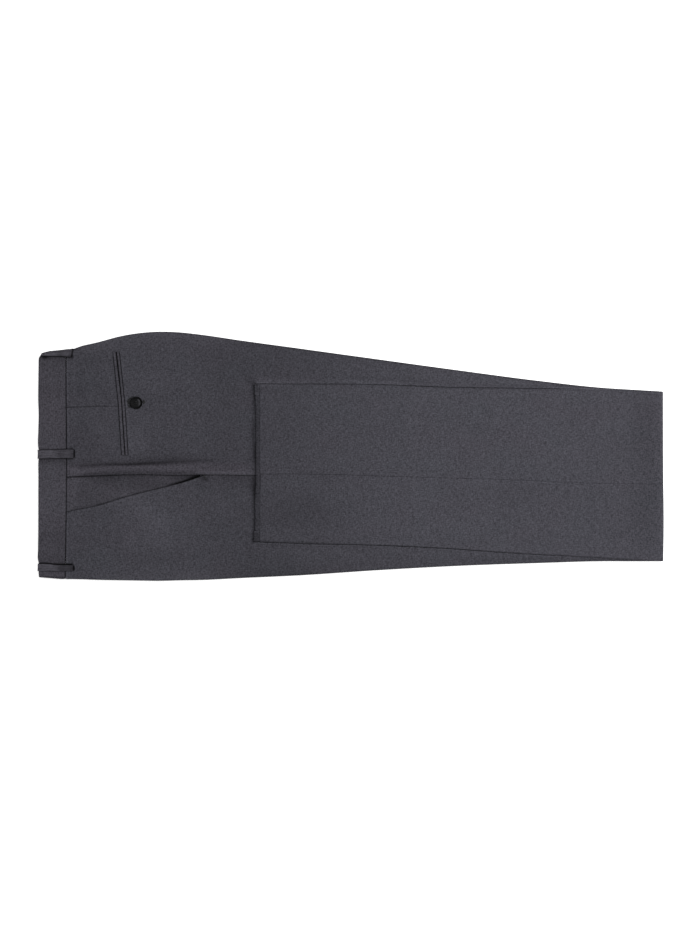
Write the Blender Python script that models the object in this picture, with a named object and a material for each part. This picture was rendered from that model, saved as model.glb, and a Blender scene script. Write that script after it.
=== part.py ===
"""Flat-front dress trousers, pressed flat on the leg creases, one leg on the other, lower legs folded back over the knees.

Frame of the finished part: metres, +Z up, the garment lying on Z = 0, +X from the waistband's top edge to the fold at the knees, +Y the seat side and
-Y the front side, origin below the middle of the whole garment. The wearer's left side is up.

The tables are in millimetres: `along` runs from the waistband's top edge towards the knees, `across` is positive on the seat side.
The cloth is followed through its folds by a station (a place along the leg) and a height in the pressed stack of the two legs. The stack bends once, round
the knee fold, and lies on itself again.
"""

import math

import bmesh
import bpy
from mathutils import Vector

# ---------------------------------------------------------------- driving sizes, mm
MM = 0.001
CLOTH = 1.0  # wall of the suiting
GAP = 0.3  # between neighbouring pieces
BAND_CLOTH = 1.5  # waistband wall: cloth, interlining and turnings
BAND_DEPTH = 33.4  # finished height of the waistband
BAND_END = BAND_DEPTH + GAP  # where the panels start
BAND_LOW, BAND_TOP = 1.3, 8.2  # faces of the two stacked halves of the waistband
LIP = 12.0  # how far a panel turns in past its crease
BAND_LIP = 22.0  # how far the waistband turns in at each end
LEG_STACK = 4.9  # four walls and three gaps
KNEE_EDGE = 749.8  # outermost line of the fold at the knees
FOLD_MID = LEG_STACK + GAP / 2  # height of the fold's centre, and its outer radius
FOLD_START = KNEE_EDGE - FOLD_MID
HEM_RIGHT, HEM_LEFT = 265.9, 259.3  # the left leg lies inside the fold, so its hem shows past the right one
LOOP_CLOTH, LOOP_WIDTH, LOOP_END = 1.0, 10.4, 43.0
BUTTON_DIAMETER, BUTTON_THICK = 15.0, 2.5
BUTTON_AT = (117.3, 64.2)  # along, across
WELT_SLOT = 7.6  # height of the opening that the two welts fill
MOUTH_END = 197.5  # lower end of the slant pocket, on the side seam

# Outline of the two stacked upper legs: along, seat edge, front edge
UPPER = [
    (0.0, 123.0, -145.3),
    (9.1, 124.2, -145.9),
    (30.7, 126.4, -147.4),
    (43.5, 128.4, -147.3),
    (49.9, 131.0, -147.4),
    (73.9, 137.4, -148.2),
    (97.9, 143.8, -148.6),
    (121.9, 147.8, -149.0),
    (145.9, 149.3, -149.3),
    (169.9, 148.4, -148.7),
    (193.9, 145.7, -148.3),
    (241.9, 138.7, -146.0),
    (313.9, 128.8, -142.6),
    (409.9, 115.6, -136.2),
    (505.9, 102.6, -131.2),
    (601.9, 90.1, -127.9),
    (673.9, 82.2, -125.8),
    (721.9, 79.1, -125.8),
    (749.8, 77.5, -125.7),
]
# Outline of the lower legs folded back: along, seat edge, front edge
LOWER = [
    (259.3, 86.2, -102.3),
    (313.9, 85.9, -104.3),
    (407.5, 85.3, -106.2),
    (481.9, 82.4, -109.6),
    (573.1, 81.0, -115.9),
    (647.5, 79.9, -119.8),
    (697.9, 78.8, -122.6),
    (749.8, 77.5, -125.7),
]
# Side seam on the upper leg, and on the lower leg: along, across
SIDE_SEAM = [
    (33.1, -25.2),
    (58.9, -24.1),
    (90.2, -22.7),
    (121.9, -22.0),
    (163.8, -23.0),
    (197.5, -22.5),
    (258.7, -23.0),
    (500.0, -28.4),
    (749.8, -33.2),
]
LOWER_SEAM = [
    (258.7, -21.2),
    (346.3, -21.7),
    (425.5, -24.1),
    (585.1, -28.9),
    (665.5, -32.4),
    (749.8, -33.2),
]
# Mouth of the slant pocket: along, across
POCKET_MOUTH = [
    (33.1, -66.6),
    (50.4, -62.8),
    (70.6, -58.8),
    (93.1, -52.0),
    (121.9, -44.0),
    (146.6, -38.0),
    (177.2, -29.4),
    (197.5, -22.6),
]
# Middle of the back pocket's mouth: across, along
WELT_LINE = [(125.3, 93.4), (97.6, 96.4), (67.6, 99.6), (34.0, 101.9), (1.0, 104.0)]
# Faces of the stack of both legs, which thins from the waist down: along, lower face, upper face
STACK = [
    (33.7, 1.5, 7.9),
    (48.0, 1.4, 7.8),
    (73.9, 0.25, 7.4),
    (85.0, 0.0, 7.3),
    (150.0, 0.0, 6.8),
    (205.0, 0.0, 6.4),
    (245.0, 0.0, 4.9),
    (749.8, 0.0, 4.9),
]
# Hidden layers: along, depth of their face below each outer face, distance from each crease
HIDDEN = [
    (12.0, 2.6, 27.0),
    (62.0, 2.6, 27.0),
    (88.0, 2.6, 14.0),
    (205.0, 2.6, 14.0),
    (245.0, 1.3, 14.0),
    (749.8, 1.3, 14.0),
]
# Soft rib beside the side seam on the seat side of the upper leg: along, distance from the seam, rise
SEAM_RIB = [
    (33.7, 11.5, 0.0),
    (60.2, 12.2, 0.3),
    (109.9, 12.4, 0.4),
    (155.5, 15.6, 0.3),
    (217.9, 17.0, 0.0),
]
# Belt loops: name, first across, last across on the waistband's face (the back loop runs on round the crease)
LOOPS = [
    ("front", -137.6, -127.2),
    ("side", -2.9, 7.5),
    ("back", 119.0, None),
]
UPPER_STATIONS = [BAND_END, 44.0, 50.4, 61.0, 73.9, 85.0, 97.9, 121.9, 145.9, 169.9, 197.5, 222.0, 245.0, 313.9, 409.9, 505.9, 601.9, 673.9, 721.9]
LOWER_STATIONS = [721.9, 673.9, 585.0, 481.9, 407.5, 313.9]
BEND_STEPS = 8
ARC_STEPS = 4

# Finishes: name, colour (linear), roughness
FINISHES = {
    "suiting": ((0.056, 0.053, 0.063), 0.9),
    "suiting_inside": ((0.040, 0.038, 0.045), 0.95),
    "button_horn": ((0.013, 0.013, 0.014), 0.35),
}


# ---------------------------------------------------------------- helpers
def along_table(table, x, column=1):
    """A smooth curve through a table's column: cubic, with slopes from the neighbouring rows."""
    xs = [row[0] for row in table]
    ys = [row[column] for row in table]
    if x <= xs[0]:
        return ys[0]
    if x >= xs[-1]:
        return ys[-1]
    slopes = [(ys[i + 1] - ys[i]) / (xs[i + 1] - xs[i]) for i in range(len(xs) - 1)]

    def tangent(i):
        if i == 0:
            return slopes[0]
        if i == len(xs) - 1:
            return slopes[-1]
        a, b = xs[i] - xs[i - 1], xs[i + 1] - xs[i]
        return (slopes[i - 1] * b + slopes[i] * a) / (a + b)

    i = max(k for k in range(len(xs) - 1) if xs[k] <= x)
    h = xs[i + 1] - xs[i]
    t = (x - xs[i]) / h
    return (
        (2 * t**3 - 3 * t**2 + 1) * ys[i]
        + (t**3 - 2 * t**2 + t) * h * tangent(i)
        + (3 * t**2 - 2 * t**3) * ys[i + 1]
        + (t**3 - t**2) * h * tangent(i + 1)
    )


def straight(table, x, column=1):
    """Straight lines between a table's rows."""
    rows = sorted(table)
    if x <= rows[0][0]:
        return rows[0][column]
    for a, b in zip(rows, rows[1:]):
        if x <= b[0]:
            return a[column] + (b[column] - a[column]) * (x - a[0]) / (b[0] - a[0])
    return rows[-1][column]


# A station is (part, value): ("upper", along), ("bend", angle) or ("lower", along).
def place(station, y, h):
    """The point at a station, at `y` across and at height `h` in the stack."""
    part, value = station
    if part == "upper":
        return Vector((value, y, h))
    if part == "bend":
        r = FOLD_MID - h
        return Vector((FOLD_START + r * math.sin(value), y, FOLD_MID - r * math.cos(value)))
    return Vector((value, y, 2 * FOLD_MID - h))


def along_of(station):
    return station[1] if station[0] != "bend" else KNEE_EDGE


def seat_edge(station):
    return along_table(LOWER if station[0] == "lower" else UPPER, along_of(station), 1)


def front_edge(station):
    return along_table(LOWER if station[0] == "lower" else UPPER, along_of(station), 2)


def side_seam(station):
    return along_table(LOWER_SEAM if station[0] == "lower" else SIDE_SEAM, along_of(station))


def stack_faces(station):
    if station[0] != "upper":
        return 0.0, LEG_STACK
    return straight(STACK, station[1], 1), straight(STACK, station[1], 2)


def stations(start, hem):
    """From the waistband to the hem, round the knee fold."""
    found = [("upper", x) for x in UPPER_STATIONS if x > start + 0.5]
    found = [("upper", start)] + found + [("upper", FOLD_START)]
    found += [("bend", math.pi * k / BEND_STEPS) for k in range(1, BEND_STEPS)]
    found += [("lower", FOLD_START)] + [("lower", x) for x in LOWER_STATIONS]
    return found + [("lower", hem)]


def height(side, station, depth):
    """The height in the stack of a point `depth` below the outer face of this side's leg."""
    low, top = stack_faces(station)
    return top - depth if side == "left" else low + depth


def mesh_object(name, points, faces, finish):
    """A closed mesh in metres, its faces turned outward, in its own object."""
    bm = bmesh.new()
    verts = [bm.verts.new(p * MM) for p in points]
    for face in faces:
        bm.faces.new([verts[i] for i in face])
    bmesh.ops.triangulate(bm, faces=[f for f in bm.faces if len(f.verts) > 3], quad_method="SHORT_EDGE")
    bmesh.ops.recalc_face_normals(bm, faces=bm.faces)
    if bm.calc_volume(signed=True) < 0:
        bmesh.ops.reverse_faces(bm, faces=bm.faces)
    mesh = bpy.data.meshes.new(name)
    bm.to_mesh(mesh)
    bm.free()
    ob = bpy.data.objects.new(name, mesh)
    bpy.context.scene.collection.objects.link(ob)
    mesh.materials.append(material(name, finish))
    mesh.shade_smooth()
    mesh.set_sharp_from_angle(angle=math.radians(40))
    return ob


def material(name, finish):
    colour, roughness = FINISHES[finish]
    made = bpy.data.materials.new(f"{name}_{finish}")
    made.use_nodes = True
    shader = made.node_tree.nodes["Principled BSDF"]
    shader.inputs["Base Color"].default_value = (*colour, 1)
    shader.inputs["Roughness"].default_value = roughness
    shader.inputs["Metallic"].default_value = 0.0
    made.diffuse_color = (*colour, 1)
    return made


def strip_cap(ring, first):
    """Quads that close a wall's section: its outer points run 0..n-1 and its inner ones back from n."""
    n = len(ring) // 2
    return [
        [first + i, first + i + 1, first + 2 * n - 2 - i, first + 2 * n - 1 - i] for i in range(n - 1)
    ]


def loft(name, rings, finish, caps=None):
    """Joins closed sections, each a list of points, into one closed solid."""
    n = len(rings[0])
    points = [p for ring in rings for p in ring]
    faces = []
    for k in range(len(rings) - 1):
        for i in range(n):
            j = (i + 1) % n
            faces.append([k * n + i, k * n + j, (k + 1) * n + j, (k + 1) * n + i])
    last = (len(rings) - 1) * n
    if caps is None:
        faces += strip_cap(rings[0], 0) + strip_cap(rings[-1], last)
    else:
        faces += caps(0, False) + caps(last, True)
    return mesh_object(name, points, faces, finish)


# ---------------------------------------------------------------- leg panels
def panel_start(side, which, station):
    """Where a panel's outer face begins: the side seam, or for a front panel the slant pocket's mouth."""
    if which == "front" and station[0] == "upper" and station[1] < MOUTH_END:
        return along_table(POCKET_MOUTH, station[1])
    return side_seam(station)


def panel_ring(side, which, station):
    """A panel's closed section: outer face, round the crease, lip, and back along the inside."""
    out = -1 if which == "front" else 1
    edge = front_edge(station) if which == "front" else seat_edge(station)
    outer_r, inner_r = CLOTH + GAP / 2, GAP / 2
    start = panel_start(side, which, station) + out * GAP / 2
    turn = edge - out * outer_r
    rib_at, rise = 12.0, 0.0
    if which == "back" and side == "left" and station[0] == "upper":
        rib_at, rise = straight(SEAM_RIB, station[1], 1), straight(SEAM_RIB, station[1], 2)
    face = [
        (start, -rise * 0.3),
        (start + out * rib_at * 0.45, -rise),
        (start + out * rib_at, rise * 0.35),
        (start + out * (rib_at + 16.0), 0.0),
    ]
    arc = [math.pi * k / ARC_STEPS for k in range(ARC_STEPS + 1)]
    outer = face + [(turn + out * outer_r * math.sin(a), outer_r - outer_r * math.cos(a)) for a in arc]
    outer.append((turn - out * LIP, 2 * outer_r))
    inner = [(y, depth + CLOTH) for y, depth in face]
    inner += [(turn + out * inner_r * math.sin(a), outer_r - inner_r * math.cos(a)) for a in arc]
    inner.append((turn - out * LIP, outer_r + inner_r))
    ring = outer + inner[::-1]
    return [place(station, y, height(side, station, depth)) for y, depth in ring]


def panel(side, which):
    hem = HEM_LEFT if side == "left" else HEM_RIGHT
    rings = [panel_ring(side, which, s) for s in stations(BAND_END, hem)]
    return loft(f"{side}_{which}", rings, "suiting")


# ---------------------------------------------------------------- slant-pocket facing
def facing(side):
    """The triangle between side seam and pocket mouth. It runs on under the front panel."""
    rings = []
    for x in (BAND_END, 44.0, 61.0, 85.0, 109.0, 133.0, 157.0, 175.0, 187.0):
        station = ("upper", x)
        seam, mouth = side_seam(station) - GAP / 2, along_table(POCKET_MOUTH, x)
        under = CLOTH + GAP + 0.05
        face = [
            (seam, 0.1),
            (seam + (mouth - seam) * 0.5, 0.25),
            (mouth + (seam - mouth) * 0.16, under),
            (mouth - 9.0, under),
        ]
        ring = face + [(y, depth + CLOTH) for y, depth in face[::-1]]
        rings.append([place(station, y, height(side, station, depth)) for y, depth in ring])
    return loft(f"{side}_pocket_facing", rings, "suiting")


# ---------------------------------------------------------------- hidden layers
def hidden_layers():
    """Inner leg halves, fly and pocket bags, pressed to one rounded solid between the outer layers. At the hems its two layers end one past the other."""
    rings = []
    places = [("upper", 12.0), ("upper", 24.0)] + stations(BAND_END, HEM_RIGHT + 0.3)
    for k, station in enumerate(places):
        x = along_of(station)
        low, top = stack_faces(station)
        if station[0] == "upper":
            depth, inset = straight(HIDDEN, x, 1), straight(HIDDEN, x, 2)
        else:
            depth, inset = CLOTH + GAP, 14.0
        y0, y1 = front_edge(station) + inset, seat_edge(station) - inset
        low, top = low + depth, top - depth
        middle = (low + top) / 2
        soft = min(0.4, (top - low) * 0.3)
        if k == 0:  # its rounded end inside the waistband
            low, top, soft = middle - 0.3, middle + 0.3, 0.1
            y0, y1 = y0 + 4, y1 - 4
        ring = [
            (y0 + 0.6, low),
            (y1 - 0.6, low),
            (y1, low + soft),
            (y1, middle - 0.05),
            (y1, middle + 0.05),
            (y1, top - soft),
            (y1 - 0.6, top),
            (y0 + 0.6, top),
            (y0, top - soft),
            (y0, middle + 0.05),
            (y0, middle - 0.05),
            (y0, low + soft),
        ]
        points = [place(station, y, h) for y, h in ring]
        if k == len(places) - 1:  # the left leg's layer, indices 4 to 9, runs on to its own hem
            for i in range(4, 10):
                points[i].x = HEM_LEFT + 0.3
        rings.append(points)

    def caps(first, last):
        f = first
        return [
            [f, f + 1, f + 2, f + 11],
            [f + 2, f + 3, f + 10, f + 11],
            [f + 3, f + 4, f + 9, f + 10],
            [f + 4, f + 5, f + 8, f + 9],
            [f + 5, f + 6, f + 7, f + 8],
        ]

    return loft("inner_layers", rings, "suiting_inside", caps)


# ---------------------------------------------------------------- waistband
def waistband(side):
    """Half of the waistband: its face, both ends turned in at the creases, and a rounded top edge."""
    r, ri = BAND_CLOTH + GAP / 2, GAP / 2
    arc = [math.pi * k / ARC_STEPS for k in range(ARC_STEPS + 1)]
    rings = []
    # along, how much each face draws in where the top edge rounds over
    for x, draw in ((0.0, 0.5), (0.35, 0.15), (1.0, 0.0), (9.1, 0.0), (21.0, 0.0), (BAND_DEPTH, 0.0)):
        station = ("upper", x)
        front, seat = front_edge(station), seat_edge(station)
        a, b = front + r, seat - r
        outer = [(a + BAND_LIP, 2 * r - draw)]
        outer += [(a - (r - draw) * math.sin(t), r + (r - draw) * math.cos(t)) for t in arc]
        spread = [a + (b - a) * f for f in (0.012, 0.04, 0.2, 0.4, 0.6, 0.8, 0.955, 0.985)]
        outer += [(y, draw) for y in spread]
        outer += [(b + (r - draw) * math.sin(t), r - (r - draw) * math.cos(t)) for t in arc]
        outer += [(b - BAND_LIP, 2 * r - draw)]
        inner = [(a + BAND_LIP, r + ri + draw)]
        inner += [(a - (ri + draw) * math.sin(t), r + (ri + draw) * math.cos(t)) for t in arc]
        inner += [(y, BAND_CLOTH - draw) for y in spread]
        inner += [(b + (ri + draw) * math.sin(t), r - (ri + draw) * math.cos(t)) for t in arc]
        inner += [(b - BAND_LIP, r + ri + draw)]
        ring = []
        for y, depth in outer + inner[::-1]:
            h = BAND_TOP - depth if side == "left" else BAND_LOW + depth
            # the corners at the top edge are rounded in plan, the seat one more
            corner = max(0.0, y - (seat - 5.0)) / 5.0
            round_seat = 3.0 * (1 - math.sqrt(max(0.0, 1 - min(corner, 1.0) ** 2)))
            corner = max(0.0, (front + 1.5) - y) / 1.5
            round_front = 0.8 * (1 - math.sqrt(max(0.0, 1 - min(corner, 1.0) ** 2)))
            ring.append(Vector((x + (round_seat + round_front) * max(0.0, 1 - x / 12.0), y, h)))
        rings.append(ring)
    return loft(f"{side}_waistband", rings, "suiting")


# ---------------------------------------------------------------- belt loops
def band_face(side, x):
    """What a loop lies on: radius of the crease's roll, height of its centre, outward sense."""
    t = min(1.0, max(0.0, (x - BAND_END) / 3.3))
    low, top = stack_faces(("upper", max(x, BAND_END)))
    band_r, panel_r = BAND_CLOTH + GAP / 2, CLOTH + GAP / 2
    r = band_r + (panel_r - band_r) * t
    if side == "left":
        face = BAND_TOP + (top - BAND_TOP) * t
        return r, face - r, 1
    face = BAND_LOW + (low - BAND_LOW) * t
    face = min(face, BAND_LOW)
    return r, face + r, -1


def belt_loop(side, name, first, last):
    """A strap over the waistband: over its top edge, down its face, tacked just below its seam."""
    # along, clearance of the inner face, of the outer face
    profile = [
        (-0.30 - LOOP_CLOTH, -1.0, None),
        (-0.30 - LOOP_CLOTH, 0.2, None),
        (-0.75, GAP + LOOP_CLOTH * 0.8, None),
        (0.6, GAP + LOOP_CLOTH, None),
        (17.0, GAP + LOOP_CLOTH, None),
        (33.0, GAP + LOOP_CLOTH, None),
        (38.0, GAP + LOOP_CLOTH, None),
        (41.8, GAP + LOOP_CLOTH, None),
        (LOOP_END - 0.3, GAP + LOOP_CLOTH * 0.75, None),
        (LOOP_END, GAP + LOOP_CLOTH * 0.3, None),
        (LOOP_END - 0.3, GAP, None),
        (38.0, GAP, None),
        (33.0, GAP, None),
        (17.0, GAP, None),
        (0.2, GAP, None),
        (-0.30, -0.1, None),
        (-0.30, -1.0, None),
    ]
    width = LOOP_WIDTH
    rows = []
    if last is None:
        sample = [0.0, 0.5, 1.6, None, 30.0, 55.0, 80.0, 105.0]
    else:
        sample = [0.0, 0.5, width - 0.5, width]
    for k, s in enumerate(sample):
        side_row = k in (0, len(sample) - 1)
        row = []
        for x, clear, _ in profile:
            if side_row and clear > GAP + 0.3:  # rounded long edges
                clear -= 0.3
            r, centre, sense = band_face(side, x)
            station = ("upper", max(0.0, x))
            turn = seat_edge(station) - r
            if last is not None:
                y, h = first + s, centre + sense * (r + clear)
            elif k < 4:
                y = turn if s is None else first + s
                h = centre + sense * (r + clear)
            else:
                a = math.radians(s)
                y = turn + (r + clear) * math.sin(a)
                h = centre + sense * (r + clear) * math.cos(a)
            if last is None and k >= 3:  # follows the rounded corner of the top edge
                bend = max(0.0, y - (seat_edge(station) - 5.0)) / 6.4
                x = x + 2.6 * (1 - math.sqrt(max(0.0, 1 - min(bend, 1.0) ** 2))) * max(0.0, 1 - max(0.0, x) / 12.0)
            row.append(Vector((x, y, h)))
        rows.append(row)

    n = len(profile)

    def caps(start, last_cap):
        # the profile is a thin bent strip: point i faces point n-1-i
        return [[start + i, start + i + 1, start + n - 2 - i, start + n - 1 - i] for i in range((n - 1) // 2 - 1)] + [
            [start + (n - 1) // 2 - 1, start + (n - 1) // 2, start + (n - 1) // 2 + 1]
        ]

    return loft(f"{side}_loop_{name}", rows, "suiting", caps)


# ---------------------------------------------------------------- back pocket
def welt_box(side, first, last, y0, y1, low, high, grow=0.0):
    """Sections of a strip that follows the back pocket's mouth line from y0 to y1, from `first` to `last` along from that line."""
    rows = []
    for k in range(7):
        y = y0 + (y1 - y0) * k / 6
        x = along_table(sorted(WELT_LINE), y)
        row = []
        for dx, depth in ((first, high), (last, high), (last, low), (first, low)):
            row.append(place(("upper", x + dx), y, height(side, ("upper", x + dx), depth)))
        rows.append(row)
    return rows


def welt(side, name, first, last):
    """One folded strip of the double-welt pocket, rounded along its fold."""
    y0, y1 = 1.0 + GAP, 125.3 - GAP
    proud = 0.2 if side == "left" else 0.0
    rows = []
    count = 8
    for k in range(count + 1):
        y = y0 + (y1 - y0) * k / count
        x = along_table(sorted(WELT_LINE), y)
        row = []
        for dx, depth in (
            (first, 0.35 - proud),
            (first + 0.5, -proud),
            (last - 0.5, -proud),
            (last, 0.35 - proud),
            (last, CLOTH + 0.1),
            (first, CLOTH + 0.1),
        ):
            station = ("upper", x + dx)
            row.append(place(station, y, height(side, station, depth)))
        rows.append(row)

    def caps(start, last_cap):
        return [[start, start + 1, start + 2, start + 3], [start, start + 3, start + 4, start + 5]]

    return loft(f"{side}_welt_{name}", rows, "suiting", caps)


def cut_pocket(side, panel_object):
    """Opens the back panel where the two welts lie."""
    rows = welt_box(side, -WELT_SLOT / 2, WELT_SLOT / 2, 1.0, 125.3, CLOTH + 0.18, -1.0)

    def caps(start, last_cap):
        return [[start, start + 1, start + 2, start + 3]]

    cutter = loft(f"cut_{side}_pocket", rows, "suiting", caps)
    cutter.hide_render = True
    cutter.display_type = "WIRE"
    cut = panel_object.modifiers.new("pocket_opening", "BOOLEAN")
    cut.operation = "DIFFERENCE"
    cut.solver = "EXACT"
    cut.object = cutter


def button():
    """A rimmed four-hole button, resting just clear of the back panel."""
    x, y = BUTTON_AT
    radius = BUTTON_DIAMETER / 2
    base = stack_faces(("upper", x - radius))[1] + GAP
    # radius, height above the panel
    profile = [
        (radius - 1.6, 0.0),
        (radius - 0.4, 0.5),
        (radius, 1.2),
        (radius - 0.25, 2.0),
        (radius - 0.9, BUTTON_THICK),
        (radius - 1.7, BUTTON_THICK - 0.15),
        (radius - 2.7, 1.6),
    ]
    steps = 28
    points, faces = [], []
    for k in range(steps):
        a = 2 * math.pi * k / steps
        points += [Vector((x + r * math.cos(a), y + r * math.sin(a), base + z)) for r, z in profile]
    n = len(profile)
    for k in range(steps):
        m = (k + 1) % steps
        for i in range(n - 1):
            faces.append([k * n + i, k * n + i + 1, m * n + i + 1, m * n + i])
    faces.append([k * n for k in range(steps)])
    faces.append([k * n + n - 1 for k in range(steps)])
    ob = mesh_object("left_pocket_button", points, faces, "button_horn")
    for k in range(4):
        a = math.radians(45 + 90 * k)
        bm = bmesh.new()
        bmesh.ops.create_cone(bm, cap_ends=True, segments=8, radius1=0.8 * MM, radius2=0.8 * MM, depth=6 * MM)
        bmesh.ops.translate(
            bm, verts=bm.verts, vec=Vector((x + 1.7 * math.cos(a), y + 1.7 * math.sin(a), base + 1.0)) * MM
        )
        mesh = bpy.data.meshes.new(f"cut_hole_{k}")
        bm.to_mesh(mesh)
        bm.free()
        hole = bpy.data.objects.new(f"cut_hole_{k}", mesh)
        bpy.context.scene.collection.objects.link(hole)
        hole.hide_render = True
        hole.display_type = "WIRE"
        cut = ob.modifiers.new(f"hole_{k}", "BOOLEAN")
        cut.operation = "DIFFERENCE"
        cut.solver = "EXACT"
        cut.object = hole
    return ob


# ---------------------------------------------------------------- build
def main():
    for ob in list(bpy.data.objects):
        bpy.data.objects.remove(ob, do_unlink=True)
    for side in ("left", "right"):
        panel(side, "front")
        cut_pocket(side, panel(side, "back"))
        facing(side)
        waistband(side)
        for name, first, last in LOOPS:
            belt_loop(side, name, first, last)
        welt(side, "upper", -WELT_SLOT / 2 + GAP, -0.2)
        welt(side, "lower", 0.2, WELT_SLOT / 2 - GAP)
    hidden_layers()
    button()

    # The origin goes below the middle of the whole garment.
    shown = [ob for ob in bpy.context.scene.objects if not ob.hide_render]
    low = [min(v.co[i] for ob in shown for v in ob.data.vertices) for i in range(3)]
    high = [max(v.co[i] for ob in shown for v in ob.data.vertices) for i in range(3)]
    shift = Vector((-(low[0] + high[0]) / 2, -(low[1] + high[1]) / 2, -low[2]))
    for ob in bpy.context.scene.objects:
        for v in ob.data.vertices:
            v.co += shift


main()
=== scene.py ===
"""Looks of the flat-front dress trousers: fine worsted cloth pressed flat, lower legs folded back over the knees.

Garment coordinates, in millimetres, are those of the CAD model: `along` runs from the waistband's top edge towards the knees, `across` is positive on the
seat side, and a height lies in the pressed stack of the two legs, which bends once round the knee fold. Every piece is a thin closed shell on the form of
its solid, with the seams rolled in, the folds rounded and the soft relief of worn-in pressing added.
"""

import math

import bpy
import numpy as np
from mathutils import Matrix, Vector


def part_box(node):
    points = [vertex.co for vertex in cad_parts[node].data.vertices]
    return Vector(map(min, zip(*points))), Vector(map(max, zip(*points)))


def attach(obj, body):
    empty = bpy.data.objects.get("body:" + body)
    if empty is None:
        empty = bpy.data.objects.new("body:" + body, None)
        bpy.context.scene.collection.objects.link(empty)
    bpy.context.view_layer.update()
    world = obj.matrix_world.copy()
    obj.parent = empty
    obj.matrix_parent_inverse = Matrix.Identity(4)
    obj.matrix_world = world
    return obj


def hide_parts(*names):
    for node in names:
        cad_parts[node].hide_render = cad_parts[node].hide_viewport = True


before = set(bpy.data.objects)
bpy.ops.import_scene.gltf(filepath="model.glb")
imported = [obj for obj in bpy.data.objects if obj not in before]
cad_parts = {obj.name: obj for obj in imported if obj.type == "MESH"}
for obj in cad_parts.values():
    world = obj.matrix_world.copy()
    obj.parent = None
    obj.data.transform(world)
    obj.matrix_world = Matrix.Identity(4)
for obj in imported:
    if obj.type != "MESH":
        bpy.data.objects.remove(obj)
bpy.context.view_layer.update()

MM = 0.001
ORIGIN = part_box("left_waistband")[0].x / MM  # where along = 0

# ---------------------------------------------------------------- sizes of the CAD model, mm
CLOTH, GAP = 1.0, 0.3
BAND_CLOTH, BAND_DEPTH, BAND_END = 1.5, 33.4, 33.7
BAND_LOW, BAND_TOP = 1.3, 8.2
LIP, BAND_LIP = 12.0, 22.0
LEG_STACK, KNEE_EDGE = 4.9, 749.8
FOLD_MID = LEG_STACK + GAP / 2
FOLD_START = KNEE_EDGE - FOLD_MID
HEM_RIGHT, HEM_LEFT = 265.9, 259.3
LOOP_CLOTH, LOOP_WIDTH, LOOP_END = 1.0, 10.4, 43.0
BUTTON_DIAMETER, BUTTON_THICK = 15.0, 2.5
BUTTON_AT = (117.3, 64.2)
WELT_SLOT, WELT_MID = 7.6, 99.0
WELT_MORE = 0.7  # the upper welt is a little wider than the lower one
MOUTH_END = 197.5
OUTER_R, INNER_R = CLOTH + GAP / 2, GAP / 2

UPPER = [
    (0.0, 123.0, -145.3),
    (9.1, 124.2, -145.9),
    (30.7, 126.4, -147.4),
    (43.5, 128.4, -147.3),
    (49.9, 131.0, -147.4),
    (73.9, 137.4, -148.2),
    (97.9, 143.8, -148.6),
    (121.9, 147.8, -149.0),
    (145.9, 149.3, -149.3),
    (169.9, 148.4, -148.7),
    (193.9, 145.7, -148.3),
    (241.9, 138.7, -146.0),
    (313.9, 128.8, -142.6),
    (409.9, 115.6, -136.2),
    (505.9, 102.6, -131.2),
    (601.9, 90.1, -127.9),
    (673.9, 82.2, -125.8),
    (721.9, 79.1, -125.8),
    (749.8, 77.5, -125.7),
]
LOWER = [
    (259.3, 86.2, -102.3),
    (313.9, 85.9, -104.3),
    (407.5, 85.3, -106.2),
    (481.9, 82.4, -109.6),
    (573.1, 81.0, -115.9),
    (647.5, 79.9, -119.8),
    (697.9, 78.8, -122.6),
    (749.8, 77.5, -125.7),
]
SIDE_SEAM = [
    (33.1, -25.2),
    (58.9, -24.1),
    (90.2, -22.7),
    (121.9, -22.0),
    (163.8, -23.0),
    (197.5, -22.5),
    (258.7, -23.0),
    (500.0, -28.4),
    (749.8, -33.2),
]
LOWER_SEAM = [
    (258.7, -21.2),
    (346.3, -21.7),
    (425.5, -24.1),
    (585.1, -28.9),
    (665.5, -32.4),
    (749.8, -33.2),
]
POCKET_MOUTH = [
    (33.1, -66.6),
    (50.4, -62.8),
    (70.6, -58.8),
    (93.1, -52.0),
    (121.9, -44.0),
    (146.6, -38.0),
    (177.2, -29.4),
    (197.5, -22.6),
]
WELT_LINE = [(1.0, 104.0), (34.0, 101.9), (67.6, 99.6), (97.6, 96.4), (125.3, 93.4)]  # across, along
STACK = [
    (33.7, 1.5, 7.9),
    (48.0, 1.4, 7.8),
    (73.9, 0.25, 7.4),
    (85.0, 0.0, 7.3),
    (150.0, 0.0, 6.8),
    (205.0, 0.0, 6.4),
    (245.0, 0.0, 4.9),
    (749.8, 0.0, 4.9),
]
HIDDEN = [
    (12.0, 2.6, 27.0),
    (62.0, 2.6, 27.0),
    (88.0, 2.6, 14.0),
    (205.0, 2.6, 14.0),
    (245.0, 1.3, 14.0),
    (749.8, 1.3, 14.0),
]
DART = [(33.1, 58.6), (73.9, 59.8), (92.5, 59.9)]
LOOPS = [("front", -137.6, -127.2), ("side", -2.9, 7.5), ("back", 119.0, None)]

# ---------------------------------------------------------------- small uneven places of the outline, mm
# Along, how far the soft creases stand out past the pressed outline: seat side, front side
PROUD = [
    (0.0, 0.0, 0.0),
    (34.0, -0.05, 0.05),
    (39.0, 0.6, 0.15),
    (45.0, 1.05, 0.2),
    (52.0, 0.75, 0.2),
    (60.0, 0.35, 0.2),
    (70.0, 0.22, 0.2),
    (120.0, 0.22, 0.2),
    (200.0, 0.5, 0.22),
    (300.0, 0.6, 0.3),
    (420.0, 0.55, 0.4),
    (560.0, 0.4, 0.2),
    (749.8, 0.45, 0.25),
]
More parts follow.
